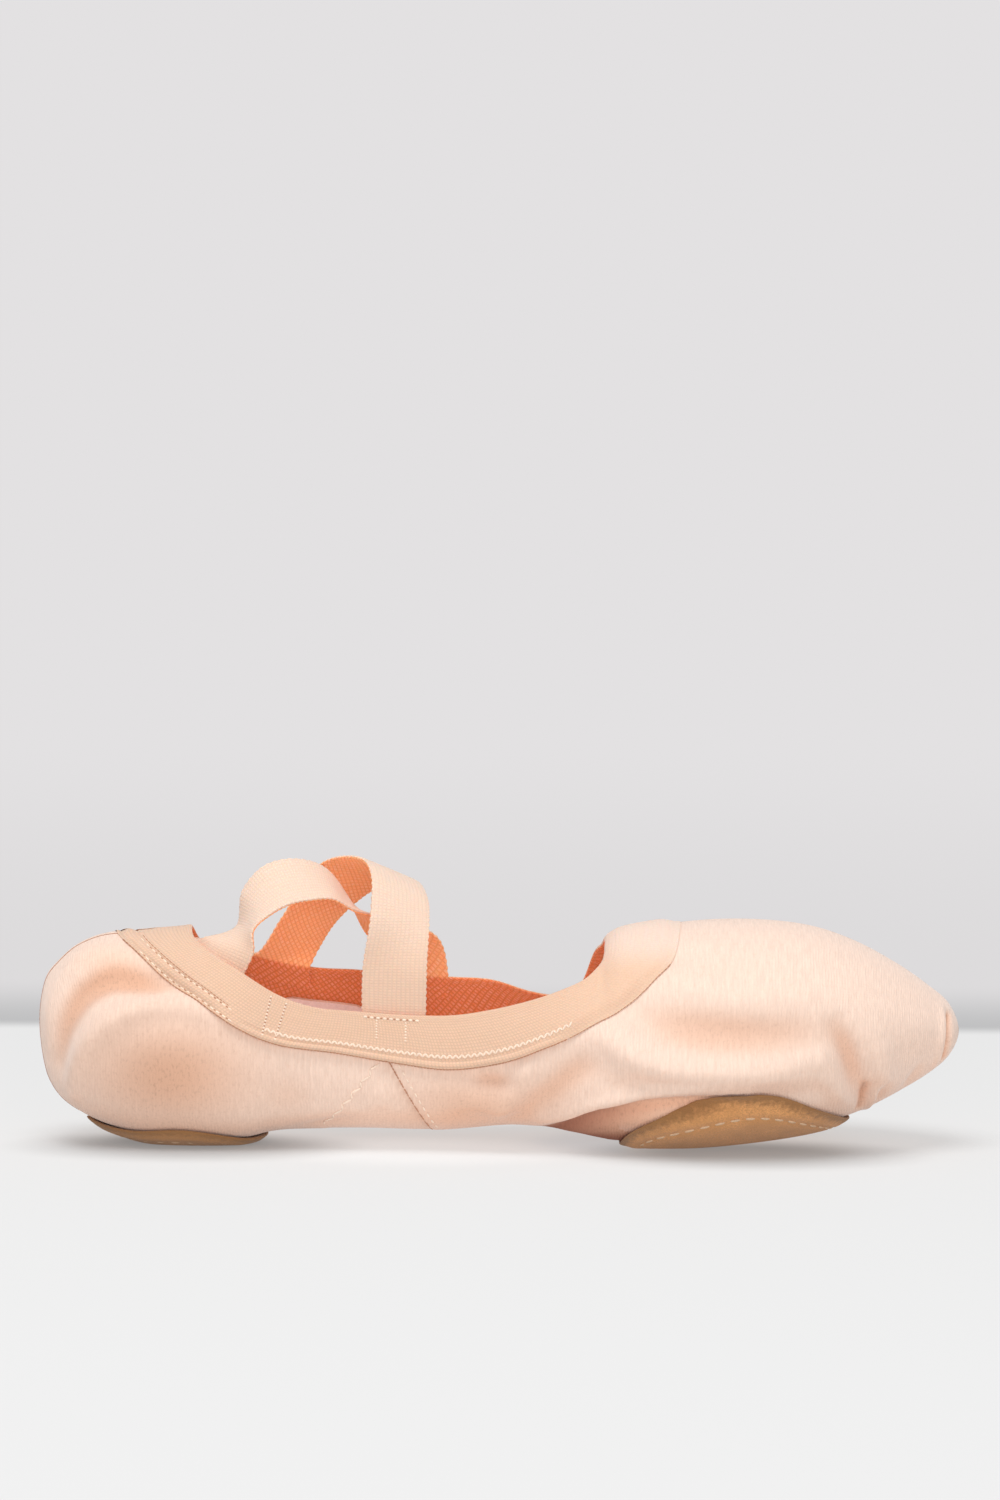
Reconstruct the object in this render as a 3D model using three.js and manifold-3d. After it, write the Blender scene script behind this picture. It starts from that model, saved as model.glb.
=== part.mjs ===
// A split-sole ballet slipper: stretch-canvas upper, elastic collar, two crossed elastic
// straps, suede patches under heel and ball, and a thin insole. Millimetres, +Z up.
// A station is measured from the back of the heel towards the toe, which points to +X.
// The side with y below 0 is called near, the other one far.
import * as THREE from "three";
import Module from "manifold-3d";

const wasm = await Module();
wasm.setup();

// Driving dimensions.
const SHOE_LENGTH = 230;
const CANVAS_WALL = 1.2;
const ELASTIC_WALL = 1.1;
const STRAP_WALL = 1.0;
const STRAP_WIDTH = 15.5;
const SUEDE_WALL = 1.6;
const INSOLE_WALL = 1.5;
const LAYER_GAP = 0.3;
const GUSSET_STEP = 0.5;
const CANVAS_UNDER_COLLAR = 0.18;
const HEM_SHARE_OF_LIFT = 0.5;
const STRAP_TUCK = 5;
const PATCH_SEAM_ALLOWANCE = 6;
const INSOLE = { share: 0.62, firstRow: 3, lastRow: 18.5, blunt: 0.25, rounding: 3 };

// The canvas stands this high where the suede under it is flat on the floor.
const SOLE_LEVEL = SUEDE_WALL + LAYER_GAP;

// Fineness of the faceted forms.
const RINGS_PER_SECTION = 2;
const POINTS_AROUND = 32;
const STRAP_STEPS = 3;
const STRAP_LANES = 4;
const OUTLINE_POINTS = 24;
const CURVE_POINTS = 44;

// Cutting forms reach well past the shoe, and those for the sole stop below the collar.
const REACH = 60;
const SKY = 120;
const SOLE_CUT_TOP = 25;

// Steps, in rows and turns of the last, for its normals, and halvings for a search.
const ROW_STEP = 0.02;
const TURN_STEP = 0.004;
const SEARCH_STEPS = 40;

// The last, a row for each section: its half width, the heights of its underside, widest
// point and top, and how full its lower and upper curves are (0.55 is an ellipse).
const LAST = {
  columns: ["station", "halfWidth", "bottom", "widest", "top", "belly", "crown"],
  turnsOver: ["halfWidth", "bottom", "top"],
  rows: [
    [0, 0, 32, 32, 32, 0.6, 0.55],
    [1.2, 8.5, 19, 31, 40.4, 0.6, 0.55],
    [4.5, 14.5, 12, 29, 45, 0.62, 0.55],
    [10, 19.5, 7.5, 27, 49.6, 0.65, 0.55],
    [18, 23, 4, 25, 52.2, 0.68, 0.55],
    [30, 25, 1, 24, 52, 0.71, 0.55],
    [50, 24.6, 1, 22.5, 53.8, 0.71, 0.55],
    [60, 23.4, 3, 21, 54, 0.68, 0.55],
    [80, 22, 3.6, 19, 53, 0.66, 0.55],
    [100, 22.8, 3.3, 19, 51.4, 0.64, 0.55],
    [118, 26, 4.9, 20.5, 49.8, 0.62, 0.55],
    [132, 29.5, 3.4, 23, 49.2, 0.62, 0.55],
    [140, 31.2, 1.8, 24.4, 49, 0.625, 0.55],
    [146, 32.5, 1, 25.5, 53, 0.63, 0.55],
    [162, 34.3, 1, 27.5, 55.6, 0.61, 0.55],
    [178, 34, 2.4, 29, 56.5, 0.57, 0.55],
    [192, 31.5, 4.6, 30, 55, 0.56, 0.55],
    [204, 27, 8.4, 30.5, 51.2, 0.55, 0.55],
    [214, 21, 13, 30, 45.8, 0.55, 0.55],
    [222, 14.5, 18, 29.5, 40.2, 0.55, 0.55],
    [227.5, 8, 23, 29, 35.5, 0.55, 0.55],
    [230, 0, 29, 29, 29, 0.55, 0.55],
  ],
};

// The collar, a row for each crossing of the band: its hem and its top edge on the near
// side, and how much higher the top edge runs on the far side. The hem takes a share of that.
const COLLAR = {
  columns: ["hemStation", "hemHeight", "topStation", "topHeight", "farLift"],
  rows: [
    [17, 55, 37.2, 55, 0],
    [23.5, 50.6, 38.8, 52, -1.4],
    [31, 45, 43, 48.8, -2.4],
    [39, 39, 50.5, 44.6, 1.4],
    [49, 32, 60, 39, 3.8],
    [60, 27.2, 69, 36, 5.4],
    [75, 25, 79, 35, 6],
    [90, 22.6, 91, 34.2, 5.6],
    [103, 21.3, 103, 34.2, 5],
    [116, 23.4, 113, 35.8, 2.6],
    [127, 27.6, 122.5, 38.2, -2.3],
    [137, 33, 130, 40.8, -5.2],
    [146, 39, 135.6, 43.2, -4.6],
    [153, 45, 139, 45.8, 0.8],
    [157.5, 49.8, 140.8, 48, 0.8],
    [160, 57.5, 141.4, 51, 0],
  ],
};

// The suede patches in plan: where they start and end, their widest place, and how pointed
// their rear end is (1 is round).
const HEEL_PATCH = { rear: 12, front: 57, widestAt: 36, halfWidth: 18.5, rearTaper: 1.6 };
const BALL_PATCH = { rear: 145, front: 202.5, widestAt: 173, halfWidth: 30.4, rearTaper: 0.36 };

// The arch gusset from the side: an inverted V.
const GUSSET = { apexStation: 87, apexHeight: 24, rearFoot: 64, frontFoot: 104, footHeight: -6 };

// The strap that rises at the near front and comes down at the far rear. Each row has the
// middle of the strap and the direction across it, from its rear edge to its front edge.
const FRONT_STRAP = {
  nearBase: 88.8,
  farBase: 59,
  columns: ["station", "y", "height", "acrossX", "acrossY", "acrossZ"],
  rows: [
    [89, -19.4, 46, 1, 0, 0],
    [90.1, -17.4, 57.5, 0.9, 0.4, -0.05],
    [89.8, -11, 65.2, 0.88, 0.2, -0.42],
    [86.2, 0, 68.4, 0.85, 0.3, -0.38],
    [76.2, 11.5, 65.2, 0.93, 0.08, -0.36],
    [66.6, 15.8, 54, 0.78, 0.48, -0.1],
    [61.6, 16.9, 46, 0.8, 0.32, 0],
  ],
};

// The strap that rises at the near rear, turns over in a loop, passes under the other one
// and comes down at the far front.
const REAR_STRAP = {
  nearBase: 47,
  farBase: 94,
  columns: FRONT_STRAP.columns,
  rows: [
    [49.2, -13.6, 50.4, 9, -7, -2],
    [52.8, -10.5, 54.4, 4, -13, 0.5],
    [55.2, -9, 60.8, 7.5, -12.5, -4],
    [59.6, -8, 65, 7, -11, -8],
    [65.4, -6.5, 66.2, 4, -11, -8.2],
    [72, -3.5, 65, 2, -11, -5],
    [78.2, 0.5, 58.8, 1.5, -13, -0.5],
    [85.6, 8.5, 53.2, 7, -9, 3],
    [92.3, 16, 47.6, 13, -3, 2],
  ],
};

// A smooth curve through a table's rows, by row number. A table that closes to a point at
// both ends runs on past it, with some columns turned over, so that its ends come out round.
function tableCurve(table) {
  const rows = table.rows;
  const last = rows.length - 1;
  const straight = (end, next) => end.map((value, i) => 2 * value - next[i]);
  const mirrored = (end, next) =>
    end.map((value, i) => (table.turnsOver.includes(table.columns[i]) ? 2 * value - next[i] : next[i]));
  const beyond = table.turnsOver ? mirrored : straight;
  const samples = [beyond(rows[0], rows[1]), ...rows, beyond(rows[last], rows[last - 1])];
  const numbers = samples.map((row, i) => i - 1);
  const spline = new THREE.CubicInterpolant(numbers, samples.flat(), table.columns.length);
  return (at) => {
    const values = spline.evaluate(at);
    return Object.fromEntries(table.columns.map((name, i) => [name, values[i]]));
  };
}

const lastRowEnd = LAST.rows.length - 1;
const sectionAt = tableCurve(LAST);
const collarAt = tableCurve(COLLAR);

// Finds where a rising or falling function reaches a value.
function whereReached(value, from, to, measure) {
  const rises = measure(to) > measure(from);
  let low = from;
  let high = to;
  for (let i = 0; i < SEARCH_STEPS; i += 1) {
    const middle = (low + high) / 2;
    if (measure(middle) < value === rises) {
      low = middle;
    } else {
      high = middle;
    }
  }
  return (low + high) / 2;
}

const rowOfStation = (station) =>
  whereReached(station, 0, lastRowEnd, (row) => sectionAt(row).station);

function bezier(a, b, c, d, t) {
  const s = 1 - t;
  return s * s * s * a + 3 * s * s * t * b + 3 * s * t * t * c + t * t * t * d;
}

// A point of the last. The turn runs from 0 under the sole, past 0.25 on the near side and
// 0.5 on top, to 0.75 on the far side and round to 1.
function skinPoint(row, turn) {
  const { station, halfWidth, bottom, widest, top, belly, crown } = sectionAt(row);
  const around = turn - Math.floor(turn);
  const side = around < 0.5 ? -1 : 1;
  const climb = around < 0.5 ? around * 4 : (1 - around) * 4;
  let out;
  let height;
  if (climb <= 1) {
    out = bezier(0, belly * halfWidth, halfWidth, halfWidth, climb);
    height = bezier(bottom, bottom, widest - belly * (widest - bottom), widest, climb);
  } else {
    const rest = climb - 1;
    out = bezier(halfWidth, halfWidth, crown * halfWidth, 0, rest);
    height = bezier(widest, widest + crown * (top - widest), top, top, rest);
  }
  return new THREE.Vector3(station, side * out, Math.max(height, SOLE_LEVEL));
}

// The same point moved out of the surface, or into it where the offset is negative.
function lastPoint(row, turn, offset) {
  const point = skinPoint(row, turn);
  if (row < ROW_STEP || row > lastRowEnd - ROW_STEP) {
    return point.add(new THREE.Vector3(row < ROW_STEP ? -offset : offset, 0, 0));
  }
  const along = skinPoint(row + ROW_STEP, turn).sub(skinPoint(row - ROW_STEP, turn));
  const round = skinPoint(row, turn + TURN_STEP).sub(skinPoint(row, turn - TURN_STEP));
  const normal = along.cross(round).normalize();
  return point.addScaledVector(normal, offset);
}

// A point of the wall at a station and a height, on the near (-1) or far (1) side.
function wallPoint(station, height, side, offset) {
  const row = rowOfStation(station);
  const turnOf = (share) => (side < 0 ? 0.25 + share : 0.75 - share);
  const share = whereReached(height, 0, 0.25, (x) => skinPoint(row, turnOf(x)).z);
  return lastPoint(row, turnOf(share), offset);
}

// Geometry to solid and back.
function solidOf(geometry) {
  const positions = geometry.getAttribute("position").array;
  const mesh = new wasm.Mesh({
    numProp: 3,
    vertProperties: new Float32Array(positions),
    triVerts: new Uint32Array(geometry.index.array),
  });
  return new wasm.Manifold(mesh);
}

function meshOf(name, solid, material) {
  const { vertProperties, triVerts } = solid.getMesh();
  const geometry = new THREE.BufferGeometry();
  geometry.setAttribute("position", new THREE.BufferAttribute(vertProperties, 3));
  geometry.setIndex(new THREE.BufferAttribute(triVerts, 1));
  geometry.computeVertexNormals();
  const mesh = new THREE.Mesh(geometry, material);
  mesh.name = name;
  return mesh;
}

function indexedGeometry(points, triangles) {
  const geometry = new THREE.BufferGeometry();
  geometry.setAttribute(
    "position",
    new THREE.Float32BufferAttribute(points.flatMap((p) => [p.x, p.y, p.z]), 3),
  );
  geometry.setIndex(triangles);
  return geometry;
}

// The whole last as one closed form at an offset, pointed at heel and toe.
function lastSolid(offset) {
  const rings = lastRowEnd * RINGS_PER_SECTION;
  const points = [lastPoint(0, 0, offset)];
  for (let ring = 1; ring < rings; ring += 1) {
    for (let i = 0; i < POINTS_AROUND; i += 1) {
      points.push(lastPoint(ring / RINGS_PER_SECTION, i / POINTS_AROUND, offset));
    }
  }
  points.push(lastPoint(lastRowEnd, 0, offset));
  const toe = points.length - 1;
  const vertex = (ring, i) => 1 + (ring - 1) * POINTS_AROUND + (i % POINTS_AROUND);
  const triangles = [];
  for (let i = 0; i < POINTS_AROUND; i += 1) {
    triangles.push(0, vertex(1, i), vertex(1, i + 1));
    triangles.push(toe, vertex(rings - 1, i + 1), vertex(rings - 1, i));
    for (let ring = 1; ring < rings - 1; ring += 1) {
      const [a, b] = [vertex(ring, i), vertex(ring, i + 1)];
      const [c, d] = [vertex(ring + 1, i), vertex(ring + 1, i + 1)];
      triangles.push(a, c, b, b, c, d);
    }
  }
  return solidOf(indexedGeometry(points, triangles));
}

// A closed prism over a flat outline, its walls shared with its two caps.
function prismSolid(outline, place, from, to) {
  const ccw = THREE.ShapeUtils.isClockWise(outline) ? [...outline].reverse() : outline;
  const count = ccw.length;
  const points = [from, to].flatMap((level) => ccw.map((p) => place(p, level)));
  const triangles = [];
  for (const [a, b, c] of THREE.ShapeUtils.triangulateShape(ccw, [])) {
    triangles.push(c, b, a, a + count, b + count, c + count);
  }
  for (let i = 0; i < count; i += 1) {
    const next = (i + 1) % count;
    triangles.push(i, next, next + count, i, next + count, i + count);
  }
  return solidOf(indexedGeometry(points, triangles));
}

// Prisms seen from the side (station and height) and from above (station and y).
const sidePrism = (outline, from, to) =>
  prismSolid(outline, (p, level) => new THREE.Vector3(p.x, -level, p.y), -to, -from);
const planPrism = (outline, from, to) =>
  prismSolid(outline, (p, level) => new THREE.Vector3(p.x, p.y, level), from, to);

// All that lies above a line of the collar: share 0 is its hem and 1 its top edge.
function aboveCollarLine(share) {
  const end = COLLAR.rows.length - 1;
  const outlineOf = (isFar) => {
    const line = [];
    for (let i = 0; i <= CURVE_POINTS; i += 1) {
      const band = collarAt((i / CURVE_POINTS) * end);
      const lift = isFar ? band.farLift * THREE.MathUtils.lerp(HEM_SHARE_OF_LIFT, 1, share) : 0;
      const station = THREE.MathUtils.lerp(band.hemStation, band.topStation, share);
      const height = THREE.MathUtils.lerp(band.hemHeight, band.topHeight, share);
      line.push(new THREE.Vector2(station, height + lift));
    }
    const rear = new THREE.Vector2(line[0].x, SKY);
    const front = new THREE.Vector2(line[CURVE_POINTS].x, SKY);
    return [rear, ...line, front];
  };
  return sidePrism(outlineOf(false), -REACH, 0).add(sidePrism(outlineOf(true), 0, REACH));
}

// An egg outline in plan, two half ovals that meet at its widest place.
function eggOutline({ rear, front, widestAt, halfWidth, rearTaper }, inset) {
  const outline = [];
  for (let i = 0; i < OUTLINE_POINTS; i += 1) {
    const angle = (i / OUTLINE_POINTS) * 2 * Math.PI;
    const inFront = Math.cos(angle) > 0;
    const reach = inFront ? front - widestAt : widestAt - rear;
    const across = Math.sign(Math.sin(angle)) * Math.abs(Math.sin(angle)) ** (inFront ? 1 : rearTaper);
    const x = widestAt + (reach - inset) * Math.cos(angle);
    outline.push(new THREE.Vector2(x, (halfWidth - inset) * across));
  }
  return outline;
}

// The insole's outline follows the last's own width, blunt at both ends.
function insoleOutline() {
  const halves = [];
  for (let i = 0; i <= OUTLINE_POINTS; i += 1) {
    const row = THREE.MathUtils.lerp(INSOLE.firstRow, INSOLE.lastRow, i / OUTLINE_POINTS);
    const { station, halfWidth } = sectionAt(row);
    const fromEnd = Math.sin((Math.PI * i) / OUTLINE_POINTS);
    const fullness = Math.min(1, INSOLE.blunt + INSOLE.rounding * fromEnd);
    halves.push(new THREE.Vector2(station, halfWidth * INSOLE.share * fullness));
  }
  const mirrored = halves.map((p) => new THREE.Vector2(p.x, -p.y)).reverse();
  return [...halves, ...mirrored];
}

// The height of the collar's top edge at a station.
function collarTop(station, side) {
  const end = COLLAR.rows.length - 1;
  const row = whereReached(station, 0, end, (at) => collarAt(at).topStation);
  const band = collarAt(row);
  return band.topHeight + (side > 0 ? band.farLift : 0);
}

// One lane of a strap, from edge (-0.5) to edge (0.5): tucked inside the collar, up, over
// and tucked in again.
function strapLane(strap, across) {
  const tucked = (base, side, down) => {
    const station = base + across * STRAP_WIDTH;
    const height = collarTop(station, side) - down;
    return wallPoint(station, height, side, -LAYER_GAP - STRAP_WALL / 2);
  };
  const free = strap.rows.map(([station, y, height, acrossX, acrossY, acrossZ]) => {
    const direction = new THREE.Vector3(acrossX, acrossY, acrossZ).normalize();
    const middle = new THREE.Vector3(station, y, height);
    return middle.addScaledVector(direction, across * STRAP_WIDTH);
  });
  return new THREE.CatmullRomCurve3(
    [
      tucked(strap.nearBase, -1, STRAP_TUCK),
      tucked(strap.nearBase, -1, STRAP_TUCK / 2),
      tucked(strap.nearBase, -1, 0),
      ...free,
      tucked(strap.farBase, 1, 0),
      tucked(strap.farBase, 1, STRAP_TUCK / 2),
      tucked(strap.farBase, 1, STRAP_TUCK),
    ],
    false,
    "centripetal",
  );
}

// A flat strap with its own thickness, through lanes that run side by side.
function strapSolid(strap) {
  const steps = (strap.rows.length + 5) * STRAP_STEPS;
  const lanes = [];
  for (let lane = 0; lane <= STRAP_LANES; lane += 1) {
    lanes.push(strapLane(strap, lane / STRAP_LANES - 0.5));
  }
  const grid = [];
  for (let step = 0; step <= steps; step += 1) {
    grid.push(lanes.map((curve) => curve.getPoint(step / steps)));
  }
  const clampTo = (i, end) => Math.min(Math.max(i, 0), end);
  const normalAt = (step, lane) => {
    const along = grid[clampTo(step + 1, steps)][lane].clone();
    along.sub(grid[clampTo(step - 1, steps)][lane]);
    const across = grid[step][clampTo(lane + 1, STRAP_LANES)].clone();
    across.sub(grid[step][clampTo(lane - 1, STRAP_LANES)]);
    return across.cross(along).normalize();
  };
  const points = [];
  for (let step = 0; step <= steps; step += 1) {
    for (const face of [0.5, -0.5]) {
      for (let lane = 0; lane <= STRAP_LANES; lane += 1) {
        const point = grid[step][lane].clone();
        points.push(point.addScaledVector(normalAt(step, lane), face * STRAP_WALL));
      }
    }
  }
  const perStep = 2 * (STRAP_LANES + 1);
  const loop = [];
  for (let lane = 0; lane <= STRAP_LANES; lane += 1) {
    loop.push(lane);
  }
  for (let lane = STRAP_LANES; lane >= 0; lane -= 1) {
    loop.push(STRAP_LANES + 1 + lane);
  }
  const triangles = [];
  for (let step = 0; step < steps; step += 1) {
    for (let i = 0; i < perStep; i += 1) {
      const a = step * perStep + loop[i];
      const b = step * perStep + loop[(i + 1) % perStep];
      triangles.push(a, b, b + perStep, a, b + perStep, a + perStep);
    }
  }
  const endRow = steps * perStep;
  for (let lane = 0; lane < STRAP_LANES; lane += 1) {
    const low = STRAP_LANES + 1 + lane;
    triangles.push(lane, low, low + 1, lane, low + 1, lane + 1);
    triangles.push(endRow + lane, endRow + low + 1, endRow + low);
    triangles.push(endRow + lane, endRow + lane + 1, endRow + low + 1);
  }
  return solidOf(indexedGeometry(points, triangles));
}

// A layer of the last between two offsets, the first one outside.
const layer = (outside, inside) => lastSolid(outside).subtract(lastSolid(inside));

function upperSolid() {
  const gussetOutline = [
    new THREE.Vector2(GUSSET.apexStation, GUSSET.apexHeight),
    new THREE.Vector2(GUSSET.frontFoot, GUSSET.footHeight),
    new THREE.Vector2(GUSSET.rearFoot, GUSSET.footHeight),
  ];
  const gussetStep = layer(2 * GUSSET_STEP, -GUSSET_STEP).intersect(
    sidePrism(gussetOutline, -REACH, REACH),
  );
  const underHeel = planPrism(eggOutline(HEEL_PATCH, PATCH_SEAM_ALLOWANCE), -REACH, SOLE_CUT_TOP);
  const underBall = planPrism(eggOutline(BALL_PATCH, PATCH_SEAM_ALLOWANCE), -REACH, SOLE_CUT_TOP);
  return layer(0, -CANVAS_WALL)
    .subtract(aboveCollarLine(CANVAS_UNDER_COLLAR))
    .subtract(gussetStep)
    .subtract(underHeel)
    .subtract(underBall);
}

function collarSolid() {
  return layer(LAYER_GAP + ELASTIC_WALL, LAYER_GAP)
    .intersect(aboveCollarLine(0))
    .subtract(aboveCollarLine(1));
}

function patchSolid(patch) {
  return layer(SOLE_LEVEL, LAYER_GAP).intersect(planPrism(eggOutline(patch, 0), 0, SOLE_CUT_TOP));
}

function insoleSolid() {
  const outside = -CANVAS_WALL - LAYER_GAP;
  return layer(outside, outside - INSOLE_WALL).intersect(planPrism(insoleOutline(), 0, SOLE_CUT_TOP));
}

const canvas = new THREE.MeshStandardMaterial({ color: 0xf0c8ac, roughness: 0.9 });
const elastic = new THREE.MeshStandardMaterial({ color: 0xf2cba9, roughness: 0.75 });
const strapElastic = new THREE.MeshStandardMaterial({ color: 0xf6d0b0, roughness: 0.7 });
const suede = new THREE.MeshStandardMaterial({ color: 0xa57550, roughness: 0.95 });
const lining = new THREE.MeshStandardMaterial({ color: 0xe0b09a, roughness: 0.95 });

const shoe = new THREE.Group();
shoe.position.x = -SHOE_LENGTH / 2;
shoe.add(meshOf("upper_canvas", upperSolid(), canvas));
shoe.add(meshOf("elastic_collar", collarSolid(), elastic));
shoe.add(meshOf("strap_front", strapSolid(FRONT_STRAP), strapElastic));
shoe.add(meshOf("strap_rear", strapSolid(REAR_STRAP), strapElastic.clone()));
shoe.add(meshOf("sole_heel_patch", patchSolid(HEEL_PATCH), suede));
shoe.add(meshOf("sole_ball_patch", patchSolid(BALL_PATCH), suede.clone()));
shoe.add(meshOf("insole_sock", insoleSolid(), lining));

export default shoe;
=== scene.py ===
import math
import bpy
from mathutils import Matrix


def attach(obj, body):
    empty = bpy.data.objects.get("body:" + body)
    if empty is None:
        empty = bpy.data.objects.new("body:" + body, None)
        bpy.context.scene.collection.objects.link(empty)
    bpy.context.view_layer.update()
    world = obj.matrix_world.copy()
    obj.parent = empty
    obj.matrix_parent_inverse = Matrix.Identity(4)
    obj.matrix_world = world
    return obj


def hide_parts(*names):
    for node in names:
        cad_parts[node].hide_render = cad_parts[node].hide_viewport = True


bl_info = {
    "name": "Canvas ballet shoe",
    "version": (1, 0, 0),
    "blender": (4, 5, 0),
    "location": "3D View > Sidebar > Shoe",
    "description": "A split-sole ballet shoe with its canvas, elastic, suede, seams and creases",
    "category": "Object",
}

import bmesh
import bpy
import numpy as np
from mathutils import Matrix

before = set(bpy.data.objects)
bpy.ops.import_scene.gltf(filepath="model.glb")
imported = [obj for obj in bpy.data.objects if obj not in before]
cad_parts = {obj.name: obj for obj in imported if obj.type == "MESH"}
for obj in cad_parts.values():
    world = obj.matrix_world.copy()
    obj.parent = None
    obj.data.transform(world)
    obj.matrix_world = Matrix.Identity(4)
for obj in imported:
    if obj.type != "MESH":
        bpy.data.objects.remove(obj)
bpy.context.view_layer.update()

# Tables are in millimetres. A station is measured from the back of the heel to the toe.
MM = 0.001
HALF_LENGTH = 115.0
LAYER_GAP = 0.3
SOLE_LEVEL = 1.9
NEAR = -1.0
FAR = 1.0

# The last: station, half width, underside, widest height, top, belly, crown.
LAST = np.array([
    (0, 0, 32, 32, 32, 0.6, 0.55),
    (1.2, 8.5, 19, 31, 40.4, 0.6, 0.55),
    (4.5, 14.5, 12, 29, 45, 0.62, 0.55),
    (10, 19.5, 7.5, 27, 49.6, 0.65, 0.55),
    (18, 23, 4, 25, 52.2, 0.68, 0.55),
    (30, 25, 1, 24, 52, 0.71, 0.55),
    (50, 24.6, 1, 22.5, 53.8, 0.71, 0.55),
    (60, 23.4, 3, 21, 54, 0.68, 0.55),
    (80, 22, 3.6, 19, 53, 0.66, 0.55),
    (100, 22.8, 3.3, 19, 51.4, 0.64, 0.55),
    (118, 26, 4.9, 20.5, 49.8, 0.62, 0.55),
    (132, 29.5, 3.4, 23, 49.2, 0.62, 0.55),
    (140, 31.2, 1.8, 24.4, 49, 0.625, 0.55),
    (146, 32.5, 1, 25.5, 53, 0.63, 0.55),
    (162, 34.3, 1, 27.5, 55.6, 0.61, 0.55),
    (178, 34, 2.4, 29, 56.5, 0.57, 0.55),
    (192, 31.5, 4.6, 30, 55, 0.56, 0.55),
    (204, 27, 8.4, 30.5, 51.2, 0.55, 0.55),
    (214, 21, 13, 30, 45.8, 0.55, 0.55),
    (222, 14.5, 18, 29.5, 40.2, 0.55, 0.55),
    (227.5, 8, 23, 29, 35.5, 0.55, 0.55),
    (230, 0, 29, 29, 29, 0.55, 0.55),
])
LAST_TURNS_OVER = np.array([False, True, True, False, True, False, False])
LAST_END = len(LAST) - 1

# The collar: hem station and height, top station and height, lift of the top on the far side.
COLLAR = np.array([
    (17, 55, 37.2, 55, 0),
    (23.5, 50.6, 38.8, 52, -2.4),
    (31, 45, 43, 48.8, -4.2),
    (39, 39, 50.5, 44.6, 0.4),
    (49, 32, 60, 39, 3.8),
    (60, 27.2, 69, 36, 5.4),
    (75, 25, 79, 35, 6),
    (90, 22.6, 91, 34.2, 5.6),
    (103, 21.3, 103, 34.2, 5),
    (116, 23.4, 113, 35.8, 2.6),
    (127, 27.6, 122.5, 38.2, -3.0),
    (137, 33, 130, 40.8, -6.8),
    (146, 39, 135.6, 43.2, -6.4),
    (153, 45, 139, 45.8, 0.6),
    (157.5, 49.8, 140.8, 48, 0.8),
    (160, 57.5, 141.4, 51, 0),
])
COLLAR_END = len(COLLAR) - 1
COLLAR_STAND_OFF = 0.9

# How far up the collar canvas and far lining reach, where creases fade, and the hem's share of the lift.
CANVAS_UNDER_COLLAR = 0.06
FAR_LINING_SHARE = 0.27
FLAT_TOP_EDGE = (0.4, 0.95)
HEM_SHARE_OF_LIFT = 0.5

# Stations between which parts of the collar begin, and a height above all of it.
FAR_LINING_ENDS = ((54, 60), (84, 78))
ROLLED_HEM_ENDS = ((46, 56), (134, 122))
COLLAR_HEEL_END = (50, 42)
COLLAR_THROAT_END = (124, 138)
OFF_COLLAR = 200.0

# The collar's rolled edges: share from hem to top edge, and share of the wall's thickness.
TOP_ROLL = ((1.01, 0.85), (1.014, 0.5), (1.01, 0.15))
HEM_ROLL = ((-0.008, 0.2), (-0.012, 0.5), (-0.008, 0.85))

# Ridges and grooves across the collar: height, place up from the hem, half width.
ROLLED_HEM_RIDGES = ((0.45, 0.85, 0.7), (-0.3, 1.8, 0.4))
HEEL_STITCH_RIDGES = ((0.3, 2.5, 0.9), (-0.3, 0.9, 0.4), (-0.3, 4.2, 0.4))

# The suede patches in plan: rear end, front end, widest station, half width, rear taper.
HEEL_PATCH = (12, 57, 36, 18.5, 1.6)
BALL_PATCH = (145, 202.5, 173, 30.4, 0.36)
PATCH_SEAM_ALLOWANCE = 10.5
PATCH_STITCH_INSET = 4.5
PATCH_STITCH_PITCH = 3.7
# How much darker each patch's suede is drawn, all over.
HEEL_DARKENING = 0.92
BALL_DARKENING = 0.0

# The patches' edge, as shares of the way out: where it is thinned, by how much, and where it is round.
SKIVED_FROM = 0.86
SKIVED_SHARE = 0.4
PATCH_ROUND_FROM = 0.95

# The groove that the patches' stitches lie in, and the heights between which it rises off the floor.
GROOVE_DEPTH = 0.45
GROOVE_HALF_WIDTH = 0.6
GROOVE_RISE = (2.2, 4.0)

# The insole's ends, the station that its rings close on, and where its edge is round.
INSOLE_HEEL = 10.0
INSOLE_TOE = 214.0
INSOLE_MIDDLE = 110.0
INSOLE_ROUND_FROM = 0.97

# The arch gusset from the side: apex and feet of an inverted V, then its steps and how they fade.
GUSSET_APEX = (87.0, 24.0)
GUSSET_REAR_FOOT = (64.0, -6.0)
GUSSET_FRONT_FOOT = (104.0, -6.0)
GUSSET_STEP = 0.25
GUSSET_FRONT_STEP = 0.4
GUSSET_STEP_FADE = 4.0
GUSSET_LOW_END = (2.5, 5.0)

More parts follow.
